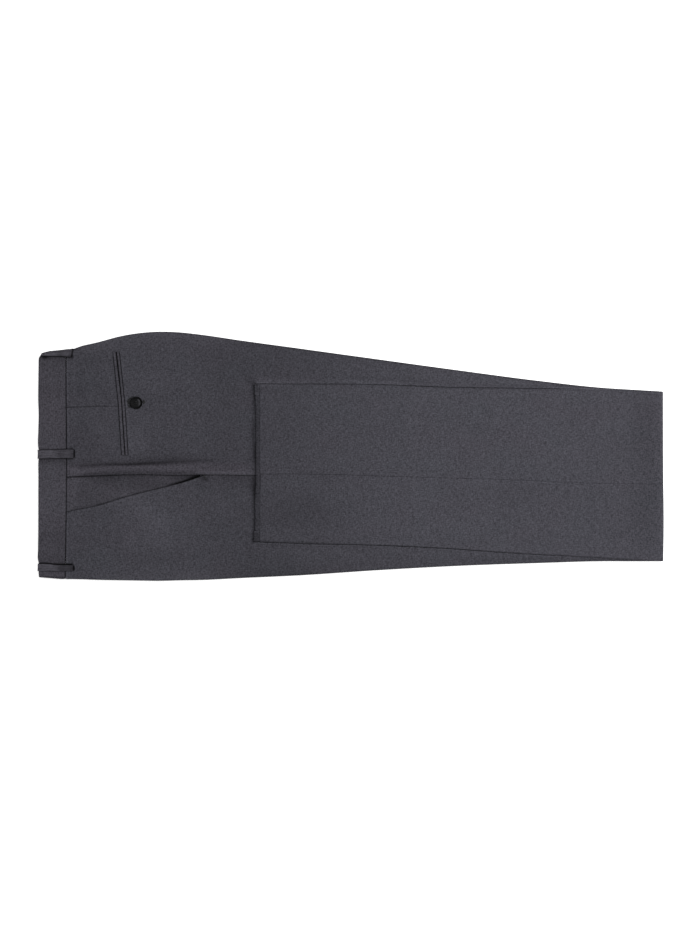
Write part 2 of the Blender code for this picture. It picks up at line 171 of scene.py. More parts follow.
# Across, how far the knee fold stands out
KNEE_PROUD = [(-126.0, 0.3), (-110.0, 0.55), (-94.0, 0.8), (-58.0, 0.75), (-40.0, 0.5), (-20.0, 0.3), (10.0, 0.1), (78.0, 0.0)]
# Across, how far the waistband's top edge lies past its line
WAIST_EDGE = [
    (-143.6, 0.3),
    (-139.0, 0.0),
    (-127.5, 0.0),
    (-124.0, -0.8),
    (-112.0, -0.75),
    (-94.0, -0.5),
    (-58.0, -0.4),
    (-22.0, -0.3),
    (-5.5, -0.25),
    (-3.0, 0.0),
    (7.6, 0.0),
    (10.5, -0.45),
    (31.6, -0.35),
    (49.6, 0.1),
    (67.6, -0.5),
    (85.6, -0.4),
    (113.0, 0.0),
]
# Across, how far the seat corner is rounded back under its belt loop
SEAT_CORNER = [(117.6, 0.0), (118.6, 0.35), (119.2, 1.3), (119.8, 1.9), (120.4, 2.7), (121.6, 3.9), (122.8, 4.3), (124.6, 4.6), (125.2, 5.5), (126.6, 8.7)]
# Across, how far the hem of the left leg lies past its line
# Shade that the lower hem throws on the thigh: across, strength at its foot, strength, reach and distance out of the soft part
HEM_SHADE = [
    (-104.0, 0.30, 0.00, 2.0, 0.0),
    (-97.0, 0.05, 0.12, 2.4, 0.0),
    (-87.0, 0.45, 0.05, 2.0, 0.0),
    (-77.0, 0.40, 0.00, 2.0, 0.0),
    (-67.0, -0.12, 0.00, 2.0, 0.0),
    (-58.0, 0.13, 0.05, 2.6, 0.0),
    (-48.0, 0.38, 0.38, 3.4, 0.0),
    (-39.0, -0.04, 0.76, 5.2, 0.0),
    (-29.0, -0.10, 0.52, 6.0, 0.0),
    (-20.0, 0.10, 0.06, 3.0, 0.0),
    (-10.0, -0.02, 0.12, 3.0, 0.0),
    (0.0, 0.55, 0.34, 4.6, 0.0),
    (9.0, 0.10, 0.50, 2.6, 1.6),
    (19.0, -0.45, 0.52, 1.5, 2.9),
    (29.0, -0.30, 0.48, 1.5, 2.9),
    (38.0, -0.45, 0.28, 2.4, 2.0),
    (48.0, -0.48, 0.12, 3.0, 0.0),
    (58.0, 0.00, 0.04, 3.0, 0.0),
    (67.0, 0.42, 0.06, 3.0, 0.0),
    (77.0, 0.50, 0.20, 2.6, 0.0),
    (87.0, 0.30, 0.10, 2.4, 0.0),
]
HEM_LINE = [(-104.0, -1.0), (-90.0, 0.3), (-72.0, 0.5), (-58.0, 0.3), (-46.0, 0.8), (-34.0, 1.3), (-10.0, 1.5), (20.0, 1.4), (58.0, 1.1), (70.0, 0.7), (80.0, 0.5), (86.0, 0.0)]
# Across, how far the waistband's seam lies past its line
BAND_LINE = [(-149.0, -1.7), (-140.0, -1.4), (-118.0, -0.9), (-96.0, -0.7), (-74.0, -0.3), (-48.0, 0.0), (24.0, 0.1), (44.0, 0.0), (66.0, -0.35), (100.0, -0.5), (130.0, -0.5)]
# Along the legs, how much lighter or darker the cloth is painted: painted light
PAINTED_LIGHT_ALONG = [(0.0, 0.0), (290.0, -0.02), (345.0, 0.04), (400.0, 0.09), (470.0, 0.12), (545.0, 0.09), (640.0, 0.05), (700.0, 0.03), (749.8, 0.0)]

# ---------------------------------------------------------------- soft relief, mm
# Spots: along, across, half length, half width, turn in degrees, rise, tone (painted light and shade over the relief:
# how much lighter or darker the cloth is drawn there)
SPOTS = {
    "left upper": [
        # between the waistband and the back pocket
        (50.0, 82.0, 6.5, 12.0, 0.0, -0.35, -0.16),
        (64.0, 66.0, 20.0, 16.0, 0.0, 0.0, -0.04),
        (43.0, 20.0, 8.0, 19.0, 0.0, 0.0, -0.15),
        (59.0, 116.0, 13.0, 7.0, 8.0, -0.30, -0.13),
        (50.0, 35.0, 7.0, 10.0, 0.0, -0.35, -0.06),
        (58.0, 13.0, 11.0, 18.0, 0.0, -0.35, -0.10),
        (74.5, 47.0, 3.0, 4.5, 0.0, -0.20, -0.05),
        (72.0, 31.0, 23.0, 5.0, -56.0, 0.40, 0.06),
        (41.0, 92.0, 4.0, 7.0, 0.0, 0.25, 0.06),
        # below the back pocket
        (117.0, 19.0, 13.0, 18.0, 0.0, 0.40, 0.14),
        (131.0, 88.0, 27.0, 14.0, 0.0, 0.35, 0.12),
        (141.0, 65.0, 13.0, 2.4, 0.0, -0.30, -0.05),
        (190.0, 60.0, 40.0, 22.0, -14.0, 0.25, 0.01),
        # front
        (126.0, -72.0, 40.0, 22.0, -20.0, 0.30, 0.20),
        (150.0, -104.0, 46.0, 10.0, 0.0, 0.0, 0.10),
        (122.0, -58.0, 13.0, 7.0, 0.0, 0.40, 0.06),
        (143.0, -81.0, 9.0, 8.0, 0.0, 0.35, 0.06),
        (108.0, -99.0, 7.0, 8.0, 0.0, 0.35, 0.15),
        (103.0, -46.0, 12.0, 6.0, 0.0, 0.0, 0.13),
        (42.0, -39.0, 6.0, 17.0, 0.0, 0.0, 0.14),
        (66.0, -68.0, 9.0, 9.0, 0.0, 0.0, -0.08),
        (201.3, -27.6, 3.6, 2.3, -25.0, -0.10, -0.46),
        (152.0, -82.0, 36.0, 20.0, 0.0, 0.0, 0.05),
        (222.0, -62.0, 17.0, 17.0, 0.0, 0.0, 0.09),
        (320.0, -118.0, 62.0, 9.0, 0.0, 0.0, 0.09),
        (43.0, -79.0, 5.0, 10.0, 0.0, 0.30, 0.05),
        (218.0, -58.0, 7.0, 13.0, 0.0, 0.35, 0.05),
        (121.0, -82.0, 20.0, 5.0, -24.0, -0.40, 0.0),
        (47.0, -103.0, 10.0, 10.0, 0.0, -0.35, -0.06),
        (83.0, -70.0, 10.0, 7.0, 0.0, -0.30, -0.05),
        (146.0, -121.5, 50.0, 6.0, 0.0, -0.40, -0.05),
        (244.0, -94.0, 9.0, 7.0, 0.0, -0.25, -0.05),
        (221.0, -110.0, 4.0, 6.0, 0.0, -0.20, -0.04),
        # thigh
        (393.0, -110.5, 18.0, 4.0, 0.0, 0.0, -0.05),
    ],
    "right lower": [
        (292.0, 80.0, 24.0, 8.0, 0.0, -0.30, -0.06),
        (294.0, 34.0, 20.0, 17.0, 0.0, -0.35, -0.06),
        (337.0, -26.0, 55.0, 9.0, 2.0, -0.40, -0.06),
        (308.0, -72.0, 45.0, 24.0, 0.0, -0.40, -0.12),
        (323.0, -60.0, 12.0, 7.0, 0.0, -0.25, -0.04),
        (287.0, -82.0, 9.0, 5.0, 0.0, -0.25, -0.05),
        (333.0, -66.0, 56.0, 22.0, 0.0, 0.0, -0.08),
        (570.0, -46.0, 90.0, 12.0, 0.0, 0.0, -0.05),
        (738.0, -18.0, 34.0, 78.0, 0.0, 0.0, -0.09),
        (500.0, -114.0, 230.0, 7.0, 0.0, 0.0, 0.05),
        (622.0, 26.0, 42.0, 42.0, 0.0, 0.30, 0.04),
        (704.0, -111.0, 18.0, 9.0, 0.0, 0.25, 0.04),
        (585.0, -37.0, 18.0, 9.0, 0.0, -0.30, -0.04),
        (722.0, 32.0, 13.0, 46.0, 0.0, -0.50, -0.10),
        (722.0, -73.0, 13.0, 40.0, 0.0, -0.50, -0.10),
        (470.0, -88.0, 70.0, 9.0, 3.0, 0.25, 0.02),
        (430.0, 62.0, 60.0, 8.0, -3.0, 0.20, 0.02),
    ],
    # the side that lies on the table: only troughs, because the rest of it is flat
    "right upper": [
        (52.0, 76.0, 6.0, 12.0, 0.0, -0.35, -0.06),
        (60.0, 28.0, 9.0, 12.0, 0.0, -0.35, -0.05),
        (138.0, -6.0, 60.0, 4.0, 2.0, -0.45, -0.05),
        (128.0, -84.0, 22.0, 6.0, -20.0, -0.40, -0.05),
        (150.0, -120.0, 46.0, 6.0, 0.0, -0.40, -0.04),
        (176.0, 62.0, 30.0, 8.0, -18.0, -0.35, -0.04),
        (318.0, 44.0, 40.0, 10.0, -6.0, -0.35, -0.04),
        (380.0, -70.0, 52.0, 9.0, 3.0, -0.35, -0.04),
        (560.0, 10.0, 60.0, 12.0, 5.0, -0.30, -0.03),
        (640.0, -88.0, 36.0, 8.0, -4.0, -0.30, -0.03),
        (722.0, 20.0, 9.0, 46.0, 0.0, -0.35, -0.04),
    ],
}
RELIEF = 1.8  # scale of every rise in the table
# share of painted light that lifts the painted shade in the cloth's tone
FIBRE_PAINTED_LIGHT = 0.118
# Beside the side seam on the seat side: along, across of the groove's middle, its depth, tone (painted shade in the
# groove)
SEAM_GROOVE = [
    (33.7, -11.6, 0.0, 0.0),
    (46.0, -11.8, 0.20, -0.32),
    (55.0, -11.5, 0.28, -0.46),
    (67.0, -10.4, 0.35, -0.52),
    (79.0, -9.8, 0.40, -0.58),
    (91.0, -9.7, 0.45, -0.72),
    (103.0, -10.0, 0.50, -0.75),
    (115.0, -9.7, 0.55, -0.80),
    (127.0, -9.1, 0.60, -0.82),
    (139.0, -8.5, 0.60, -0.73),
    (151.0, -7.5, 0.55, -0.66),
    (163.0, -6.1, 0.50, -0.56),
    (175.0, -6.0, 0.40, -0.45),
    (187.0, -5.3, 0.30, -0.44),
    (197.0, -4.9, 0.22, -0.38),
    (210.0, -5.2, 0.12, -0.26),
    (225.0, -5.0, 0.05, -0.06),
    (240.0, -5.0, 0.0, 0.0),
]
# The groove's section: along, how much of it eases away towards the seat, how quickly it ends on the seam's side
GROOVE_FORM = [
    (33.7, 0.55, 3.6),
    (46.0, 0.6, 4.0),
    (55.0, 0.7, 3.3),
    (67.0, 0.65, 3.3),
    (79.0, 0.35, 2.7),
    (91.0, 0.35, 1.85),
    (103.0, 0.6, 1.5),
    (115.0, 0.7, 1.7),
    (127.0, 0.95, 1.8),
    (139.0, 1.0, 2.9),
    (151.0, 1.0, 3.2),
    (163.0, 1.0, 4.5),
    (175.0, 0.9, 4.5),
    (187.0, 0.55, 4.2),
    (197.0, 0.5, 3.6),
    (210.0, 0.2, 2.0),
    (240.0, 0.3, 2.0),
]
# The ridge between that groove and the seam: along, tone (painted light on the ridge)
SEAM_RIDGE = [
    (33.7, 0.10),
    (44.5, 0.33),
    (55.0, 0.27),
    (67.0, 0.20),
    (79.0, 0.06),
    (103.0, 0.05),
    (127.0, 0.03),
    (139.0, 0.18),
    (151.0, 0.12),
    (163.0, 0.22),
    (175.0, 0.16),
    (187.0, 0.06),
    (197.0, 0.08),
    (209.0, 0.14),
    (250.0, 0.13),
    (262.0, 0.0),
]
# How much painted shade lies in the ditch of the side seam: along, strength
SEAM_DARK = [(33.7, 0.9), (92.0, 0.9), (108.0, 0.62), (176.0, 0.62), (185.0, 0.66), (192.0, 1.0), (199.0, 0.9), (208.0, 0.42), (250.0, 0.5), (749.0, 0.4)]
# The soft shade that runs down to the ditch: along, on the seat side, on the front side, how far that one reaches
SEAM_SHADE = [
    (33.7, 0.0, 0.0, 7.0),
    (44.5, -0.02, -0.10, 9.0),
    (55.0, 0.37, -0.03, 7.0),
    (67.0, 0.45, 0.26, 9.5),
    (79.0, 0.31, 0.42, 10.0),
    (91.0, 0.32, 0.41, 11.5),
    (103.0, 0.34, 0.27, 10.0),
    (115.0, 0.30, 0.42, 8.0),
    (127.0, 0.23, 0.28, 10.5),
    (139.0, 0.30, 0.21, 7.0),
    (151.0, 0.27, 0.02, 8.0),
    (163.0, 0.36, 0.20, 8.0),
    (175.0, 0.26, 0.08, 8.0),
    (187.0, 0.10, 0.21, 9.0),
    (196.0, -0.24, 0.48, 11.0),
    (203.0, -0.22, 0.22, 11.0),
    (212.0, -0.20, 0.08, 11.0),
    (226.0, -0.22, 0.24, 9.0),
    (245.0, -0.32, 0.28, 9.0),
    (258.0, -0.24, 0.20, 9.0),
    (262.0, 0.0, 0.0, 9.0),
]
# How much painted shade lies in the ditch of the lower legs' seam: along, strength
LOWER_SEAM_DARK = [(259.0, 0.26), (330.0, 0.11), (400.0, 0.06), (600.0, 0.02), (745.0, 0.02)]
# How much painted shade lies along the very edge of the pressed creases: along, seat side, front side
CREASE_DARK = [
    (33.7, 0.45, 0.10),
    (44.0, 0.45, 0.15),
    (56.0, 0.42, 0.34),
    (75.0, 0.26, 0.32),
    (110.0, 0.32, 0.24),
    (200.0, 0.32, 0.24),
    (250.0, 0.40, 0.32),
    (300.0, 0.56, 0.38),
    (400.0, 0.54, 0.36),
    (470.0, 0.42, 0.34),
    (749.0, 0.35, 0.25),
]


# ---------------------------------------------------------------- tables
def curve(table, x, column=1):
    """A smooth curve through a table's column: cubic, with slopes from the neighbouring rows."""
    xs = np.array([row[0] for row in table], float)
    ys = np.array([row[column] for row in table], float)
    d = np.diff(xs)
    s = np.diff(ys) / d
    m = np.empty(len(xs))
    m[0], m[-1] = s[0], s[-1]
    m[1:-1] = (s[:-1] * d[1:] + s[1:] * d[:-1]) / (d[1:] + d[:-1])
    q = np.clip(np.asarray(x, float), xs[0], xs[-1])
    i = np.clip(np.searchsorted(xs, q, side="right") - 1, 0, len(d) - 1)
    t = (q - xs[i]) / d[i]
    return (
        (2 * t**3 - 3 * t**2 + 1) * ys[i]
        + (t**3 - 2 * t**2 + t) * d[i] * m[i]
        + (3 * t**2 - 2 * t**3) * ys[i + 1]
        + (t**3 - t**2) * d[i] * m[i + 1]
    )


def seat_line(table, x):
    return curve(table, x, 1) + straight(PROUD, x, 1)


def front_line(table, x):
    return curve(table, x, 2) - straight(PROUD, x, 2)


def straight(table, x, column=1):
    return np.interp(x, [row[0] for row in table], [row[column] for row in table])


def eased(table, x, column=1, spread=9.0):
    """The straight lines of a table with their corners eased over `spread`."""
    return sum(straight(table, np.asarray(x, float) + spread * k / 3.0, column) for k in (-2, -1, 0, 1, 2)) / 5.0


def smooth(a, b, x):
    t = np.clip((np.asarray(x, float) - a) / (b - a), 0.0, 1.0)
    return t * t * (3 - 2 * t)


def waves(x, y, scale, seed):
    """A soft uneven field, about -1 to 1, with features about `scale` long. It is a sum of fixed waves."""
    rng = np.random.RandomState(seed)
    total = np.zeros(np.broadcast(x, y).shape)
    for _ in range(9):
        a = rng.uniform(0, 2 * math.pi)
        k = 2 * math.pi / (scale * rng.uniform(0.7, 1.9))
        total = total + np.sin(k * (np.cos(a) * x + np.sin(a) * y) + rng.uniform(0, 2 * math.pi))
    return total / 4.2


UP, BEND, DOWN = 0, 1, 2


def place(part, value, y, h):
    """World points in metres. `value` is the place along, or the bend's angle; `y` across; `h` the height in the stack."""
    part, value, y, h = np.broadcast_arrays(part, value, y, h)
    r = FOLD_MID - h
    x = np.where(part == BEND, FOLD_START + (r + curve(KNEE_PROUD, y)) * np.sin(value), value)
    z = np.where(part == UP, h, np.where(part == BEND, FOLD_MID - r * np.cos(value), 2 * FOLD_MID - h))
    return np.stack([(x + ORIGIN) * MM, y * MM, z * MM], axis=-1)


def faces_of_stack(x):
    return eased(STACK, x, 1), eased(STACK, x, 2)


def roll(q, radius=0.45, soft=0.22, reach=1.3):
    """How far a panel's outer face drops at distance `q` from its edge."""
    q = np.maximum(q, 0.0)
    inside = np.clip(1 - q / radius, 0.0, 1.0)
    return radius * (1 - np.sqrt(1 - inside**2)) + soft * np.exp(-((q / reach) ** 1.5))


# ---------------------------------------------------------------- relief of the visible faces
def spots(name, x, y):
    rise, tone = np.zeros(np.broadcast(x, y).shape), np.zeros(np.broadcast(x, y).shape)
    for cx, cy, a, b, turn, up, light in SPOTS[name]:
        c, s = math.cos(math.radians(turn)), math.sin(math.radians(turn))
        u, v = ((x - cx) * c + (y - cy) * s) / a, (-(x - cx) * s + (y - cy) * c) / b
        g = np.exp(-((u * u + v * v) ** 1.15))
        rise, tone = rise + RELIEF * up * g, tone + light * g
    return rise, tone


def relief(side, part, x, y):
    """(rise outward in mm, tone) of this side's outer face, where `part` is UP or DOWN. The tone holds the cloth's own
    uneven tone and the painted light and shade over the relief.
    """
    x, y = np.broadcast_arrays(np.asarray(x, float), np.asarray(y, float))
    edges = UPPER if part == UP else LOWER
    seat, front = seat_line(edges, x), front_line(edges, x)
    inward = smooth(1.0, 15.0, seat - y) * smooth(1.0, 15.0, y - front)
    if side == "left" and part == UP:
        rise, tone = spots("left upper", x, y)
        rise = rise + 0.95 + 0.24 * waves(x, y, 62.0, 3) + 0.10 * waves(x, y, 24.0, 5)
        tone = tone + 0.018 * waves(x, y, 45.0, 11) + straight(PAINTED_LIGHT_ALONG, x)
        seam = curve(SIDE_SEAM, x)
        groove, depth = curve(SEAM_GROOVE, x, 1), straight(SEAM_GROOVE, x, 2)
        off = y - groove  # steep on the seam's side, easing away from it
        share, quick = straight(GROOVE_FORM, x, 1), straight(GROOVE_FORM, x, 2)
        eased_off = np.maximum(off, 0.0)
        g = np.where(off > 0, (1 - share) * np.exp(-((off / 1.8) ** 2)) + share * (0.3 * np.exp(-((off / 2.0) ** 2)) + 0.7 * np.exp(-((eased_off / 7.6) ** 1.4))), np.exp(-((off / quick) ** 2)))
        ridge_mid = (seam + groove) / 2 + 0.6
        ridge = np.exp(-(((y - ridge_mid) / 4.2) ** 2)) * smooth(30.0, 60.0, x) * (1 - smooth(215.0, 262.0, x))
        rise = rise - 1.3 * depth * g + 0.75 * ridge
        light = np.exp(-(((y - ridge_mid - 0.4) / 4.6) ** 4)) * (x < 262.0)
        late = smooth(196.0, 210.0, x)
        light = light * (1 - late) + late * np.exp(-((np.maximum(y - seam, 0.0) / 5.5) ** 2)) * (y > seam)
        # painted shade in the groove, painted light on the ridge, and painted shade over the thigh towards the hem
        tone = tone + straight(SEAM_GROOVE, x, 3) * g + straight(SEAM_RIDGE, x) * light - 0.10 * smooth(185.0, 225.0, x)
        # shade on both sides of the seam; the cloth dips just past it on the front side
        from_seam = y - seam
        tone = tone - straight(SEAM_SHADE, x, 1) * np.exp(-(((from_seam - 3.0) / 2.6) ** 2)) * (from_seam > 0)
        tone = tone - straight(SEAM_SHADE, x, 2) * np.exp(-((np.abs(from_seam) / straight(SEAM_SHADE, x, 3)) ** 1.6)) * (from_seam <= 0)
        dip = np.exp(-(((y - seam + 3.2) / 2.6) ** 2)) * smooth(40.0, 60.0, x) * (1 - smooth(203.0, 216.0, x))
        rise = rise - 0.45 * dip
        # painted light on the pressed edges from the pockets' level on, a little lighter there
        edge = np.exp(-((seat - y) / 6.0)) * smooth(40.0, 70.0, x) * (1 - smooth(215.0, 250.0, x))
        tone = tone + 0.28 * edge + 0.30 * np.exp(-((y - front) / 8.0)) * smooth(50.0, 90.0, x) * (1 - smooth(180.0, 240.0, x))
        # shade along the front edge at the level of the hems
        tone = tone - 0.20 * np.exp(-((y - front) / 7.0)) * smooth(236.0, 262.0, x) * (1 - smooth(300.0, 372.0, x))
        # flat round the button, and nothing stands up under the folded-back legs
        near = np.hypot(x - BUTTON_AT[0], y - BUTTON_AT[1])
        rise = rise * (0.15 + 0.85 * smooth(8.0, 22.0, near))
        past_seat, past_front = y - seat_line(LOWER, np.maximum(x, HEM_LEFT)), front_line(LOWER, np.maximum(x, HEM_LEFT)) - y
        out = np.maximum(past_seat, past_front)
        near_fold = smooth(242.0, 262.0, x)
        covered = smooth(240.0, 254.0, x) * (1 - smooth(0.5, 12.0, out))
        rise = np.maximum(rise, 0.0) * inward * smooth(33.7, 41.0, x) * (1 - covered)
        # the cloth stands up beside the folded-back legs that press on it
        to_edge = np.minimum(seat - y, y - front)
        shoulder = np.exp(-((np.maximum(out - 3.0, 0.0) / 14.0) ** 2)) * smooth(-0.8, 1.6, out) * smooth(1.3, 8.0, to_edge) * near_fold
        rise = rise + np.where(past_seat > past_front, 2.6 + 1.1 * smooth(280.0, 420.0, x), 2.2) * shoulder
        # painted light beside the folded-back legs, against the shade they throw on it, and a little painted shade
        # further out
        on_seat = past_seat > past_front
        start, later, last = 1 - smooth(285.0, 330.0, x), smooth(340.0, 430.0, x), smooth(425.0, 520.0, x)
        along_fold = smooth(257.0, 267.0, x)
        beside = np.exp(-((np.maximum(out, 0.0) / np.where(on_seat, 2.7 + 2.5 * last, 1.6)) ** 2)) * along_fold * (out > -2.0)
        tone = tone + np.where(on_seat, 0.06 + 0.16 * later + 0.56 * last, 0.04) * beside
        close = np.where(on_seat, 0.95 + 0.45 * start + 0.85 * later, 0.85 + 0.60 * (1 - smooth(300.0, 420.0, x)))
        tone = tone + close * np.exp(-(((out - np.where(on_seat, 0.9, 0.5)) / 0.85) ** 2)) * along_fold
        tone = tone - 0.10 * np.exp(-(((past_front - 2.4) / 1.3) ** 2)) * along_fold * (1 - smooth(420.0, 520.0, x))
        tone = tone - 0.11 * np.exp(-(((past_seat - 4.4) / 2.4) ** 2)) * smooth(335.0, 380.0, x) * (1 - smooth(520.0, 580.0, x))
        return rise, tone
    if side == "right" and part == DOWN:
        rise, tone = spots("right lower", x, y)
        rise = rise + 0.95 + 0.26 * waves(x, y, 70.0, 17) + 0.09 * waves(x, y, 26.0, 19)
        tone = tone + 0.016 * waves(x, y, 60.0, 23) + straight(PAINTED_LIGHT_ALONG, x)
        # painted light just inside the seat edge, near the hem
        tone = tone + 0.16 * np.exp(-(((seat - y - 1.6) / 1.2) ** 2)) * (1 - smooth(285.0, 335.0, x))
        swell = 0.75 * np.exp(-(((x - 740.0) / 8.0) ** 2)) * (1 + 0.25 * waves(y, 0 * y, 60.0, 29))
        rise = rise + swell
        rise = np.maximum(rise, 0.0) * inward * smooth(HEM_RIGHT, HEM_RIGHT + 9.0, x)
        return rise, tone
    if side == "right" and part == UP:
        rise, tone = spots("right upper", x, y)
        rise = 0.62 * rise - 0.07 * (1 + waves(x, y, 55.0, 31))
        tone = tone + 0.016 * waves(x, y, 50.0, 37) + straight(PAINTED_LIGHT_ALONG, x)
        return np.minimum(rise, 0.0) * inward * smooth(36.0, 60.0, x), tone
    # elsewhere the cloth is drawn a little darker: painted shade
    return np.zeros(x.shape), np.full(x.shape, -0.05)


# Painted contact shadows round the left side's belt loops: name, strength along the edge nearer the front, the edge
# nearer the seat, and the end
LOOP_LINES = {"front": (0.25, 0.98, 0.98), "side": (0.84, 0.88, 0.98), "back": (0.94, 0.0, 0.97)}
# How far the end of the loop at the seat corner is drawn back: across, mm
BACK_LOOP_END = [(119.0, 3.6), (120.0, 3.3), (121.6, 2.6), (124.0, 2.4), (126.0, 1.9), (128.0, 1.3), (130.0, 0.7), (132.0, 0.3)]


def loop_back(name, y):
    return straight(BACK_LOOP_END, y) if name == "back" else np.full(np.shape(y), 0.7 if name == "front" else 0.1)


def loop_edges(name, first, last, x):
    """Across positions of a belt loop's two long edges at each place along."""
    t = np.clip(np.asarray(x, float), 0.0, LOOP_END) / LOOP_END
    if name == "side":
        return first + 0.7 * t, last + 1.1 * t
    if name == "front":
        return first - 0.4 * np.sin(math.pi * t), last - 1.7 - 1.5 * smooth(0.15, 0.6, t)
    turn = curve(UPPER, np.maximum(x, 0.0), 1) - BAND_CLOTH - GAP / 2
    lift = np.minimum(0.9, turn - first - 0.5) * (1 - smooth(26.0, 40.0, x))
    return first + lift, turn + 9.0


def loop_shadows(x, y):
    """Painted shade on the cloth beside the belt loops that lie on it: how dark it is drawn."""
    dark = np.ones(np.broadcast(x, y).shape)
    for name, first, last in LOOPS:
        a, b = loop_edges(name, first, last, x)
        near_a, near_b, end = LOOP_LINES[name]
        along = 1 - smooth(LOOP_END - 2.2, LOOP_END + 0.2, x)
        off_a, off_b = a - y, y - b
        dark = dark * (1 - near_a * along * np.exp(-((np.maximum(off_a, 0.0) / 0.95) ** 2)) * (off_a > -1.5))
        if name == "front":  # a broad painted shadow in the gap
            dark = dark * (1 - near_b * along * np.exp(-((np.maximum(off_b, 0.0) / (1.75 + 0.45 * smooth(14.0, 26.0, x))) ** 4)) * (off_b > -1.5))
        else:
            dark = dark * (1 - near_b * along * np.exp(-((np.maximum(off_b, 0.0) / (1.05 + 0.35 * smooth(26.0, 34.0, x))) ** 2)) * (off_b > -1.5))
            soft, reach = (0.38, 6.4) if name == "side" else (0.34, 3.0)
            dark = dark * (1 - soft * along * np.exp(-((np.maximum(off_a, 0.0) / reach) ** 2)) * (off_a > -1.5))
        if name == "back":  # deepest near the waist's edge
            dark = dark * (1 - 0.85 * np.exp(-(((x - 7.4) / 3.9) ** 4) - ((np.maximum(off_a, 0.0) / 2.3) ** 4)) * (off_a > -0.8))
            dark = dark * (1 - 0.16 * along * np.exp(-((np.maximum(off_a, 0.0) / 3.0) ** 2)) * smooth(9.0, 14.0, x) * (off_a > -1.5))
        inside = smooth(-0.6, 1.4, y - a) * smooth(-0.6, 1.4, b - y)
        past = x - LOOP_END + loop_back(name, y)
        dark = dark * (1 - end * inside * np.exp(-((np.maximum(past, 0.0) / {"front": 1.5, "side": 1.25, "back": 1.15}[name]) ** 4)) * (past > -4.0))
    return dark


def relief_at_rows(side, part, x, y):
    """The relief over whole rows, where `part` is an array and the bend eases from one face's relief to the next."""
    part, x, y = np.broadcast_arrays(part, x, y)
    rise, tone = np.zeros(x.shape), np.zeros(x.shape)
    for code in (UP, DOWN):
        here = part == code
        if here.any():
            rise[here], tone[here] = relief(side, code, x[here], y[here])
    here = part == BEND
    if here.any():
        end, end_tone = relief(side, DOWN, np.full(here.sum(), FOLD_START), y[here])
        share = smooth(math.pi * 0.5, math.pi, x[here])
        rise[here], tone[here] = end * share, end_tone * share
    return rise, tone


# ---------------------------------------------------------------- meshes
def build(name, points, faces, uv, tone, material, sharp=50.0, rosy=None):
    mesh = bpy.data.meshes.new(name)
    mesh.from_pydata(points.reshape(-1, 3).tolist(), [], faces)
    mesh.update()
    corner = np.empty(len(mesh.loops), np.int32)
    mesh.loops.foreach_get("vertex_index", corner)
    layer = mesh.uv_layers.new(name="cloth")
    layer.data.foreach_set("uv", (uv.reshape(-1, 2)[corner] * MM).astype(np.float32).ravel())
    if material.name.startswith("suiting"):  # painted light scattered among the fibres, which lifts the painted shade everywhere but in the deepest gaps
        tone = (1 - FIBRE_PAINTED_LIGHT) * tone + FIBRE_PAINTED_LIGHT * np.clip(tone / 0.45, 0.0, 1.0)
    attribute = mesh.attributes.new("tone", "FLOAT", "POINT")
    attribute.data.foreach_set("value", np.clip(tone, 0.02, 2.7).astype(np.float32).ravel())
    if rosy is not None:
        attribute = mesh.attributes.new("rosy", "FLOAT", "POINT")
        attribute.data.foreach_set("value", rosy.astype(np.float32).ravel())
    mesh.materials.append(material)
    mesh.shade_smooth()
    mesh.set_sharp_from_angle(angle=math.radians(sharp))
    ob = bpy.data.objects.new(name, mesh)
    bpy.context.scene.collection.objects.link(ob)
    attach(ob, "root")
    return ob


def strip(first, second, along_first, along_second):
    """Faces between two rows of points with unequal counts, matched by how far along each one lies."""
    faces, i, j = [], 0, 0
    while i < len(first) - 1 or j < len(second) - 1:
        a = along_first[i + 1] if i < len(first) - 1 else math.inf
        b = along_second[j + 1] if j < len(second) - 1 else math.inf
        if abs(a - b) < 1e-6:
            faces.append([first[i + 1], first[i], second[j], second[j + 1]])
            i, j = i + 1, j + 1
        elif a < b:
            faces.append([first[i + 1], first[i], second[j]])
            i += 1
        else:
            faces.append([first[i], second[j], second[j + 1]])
            j += 1
    return faces


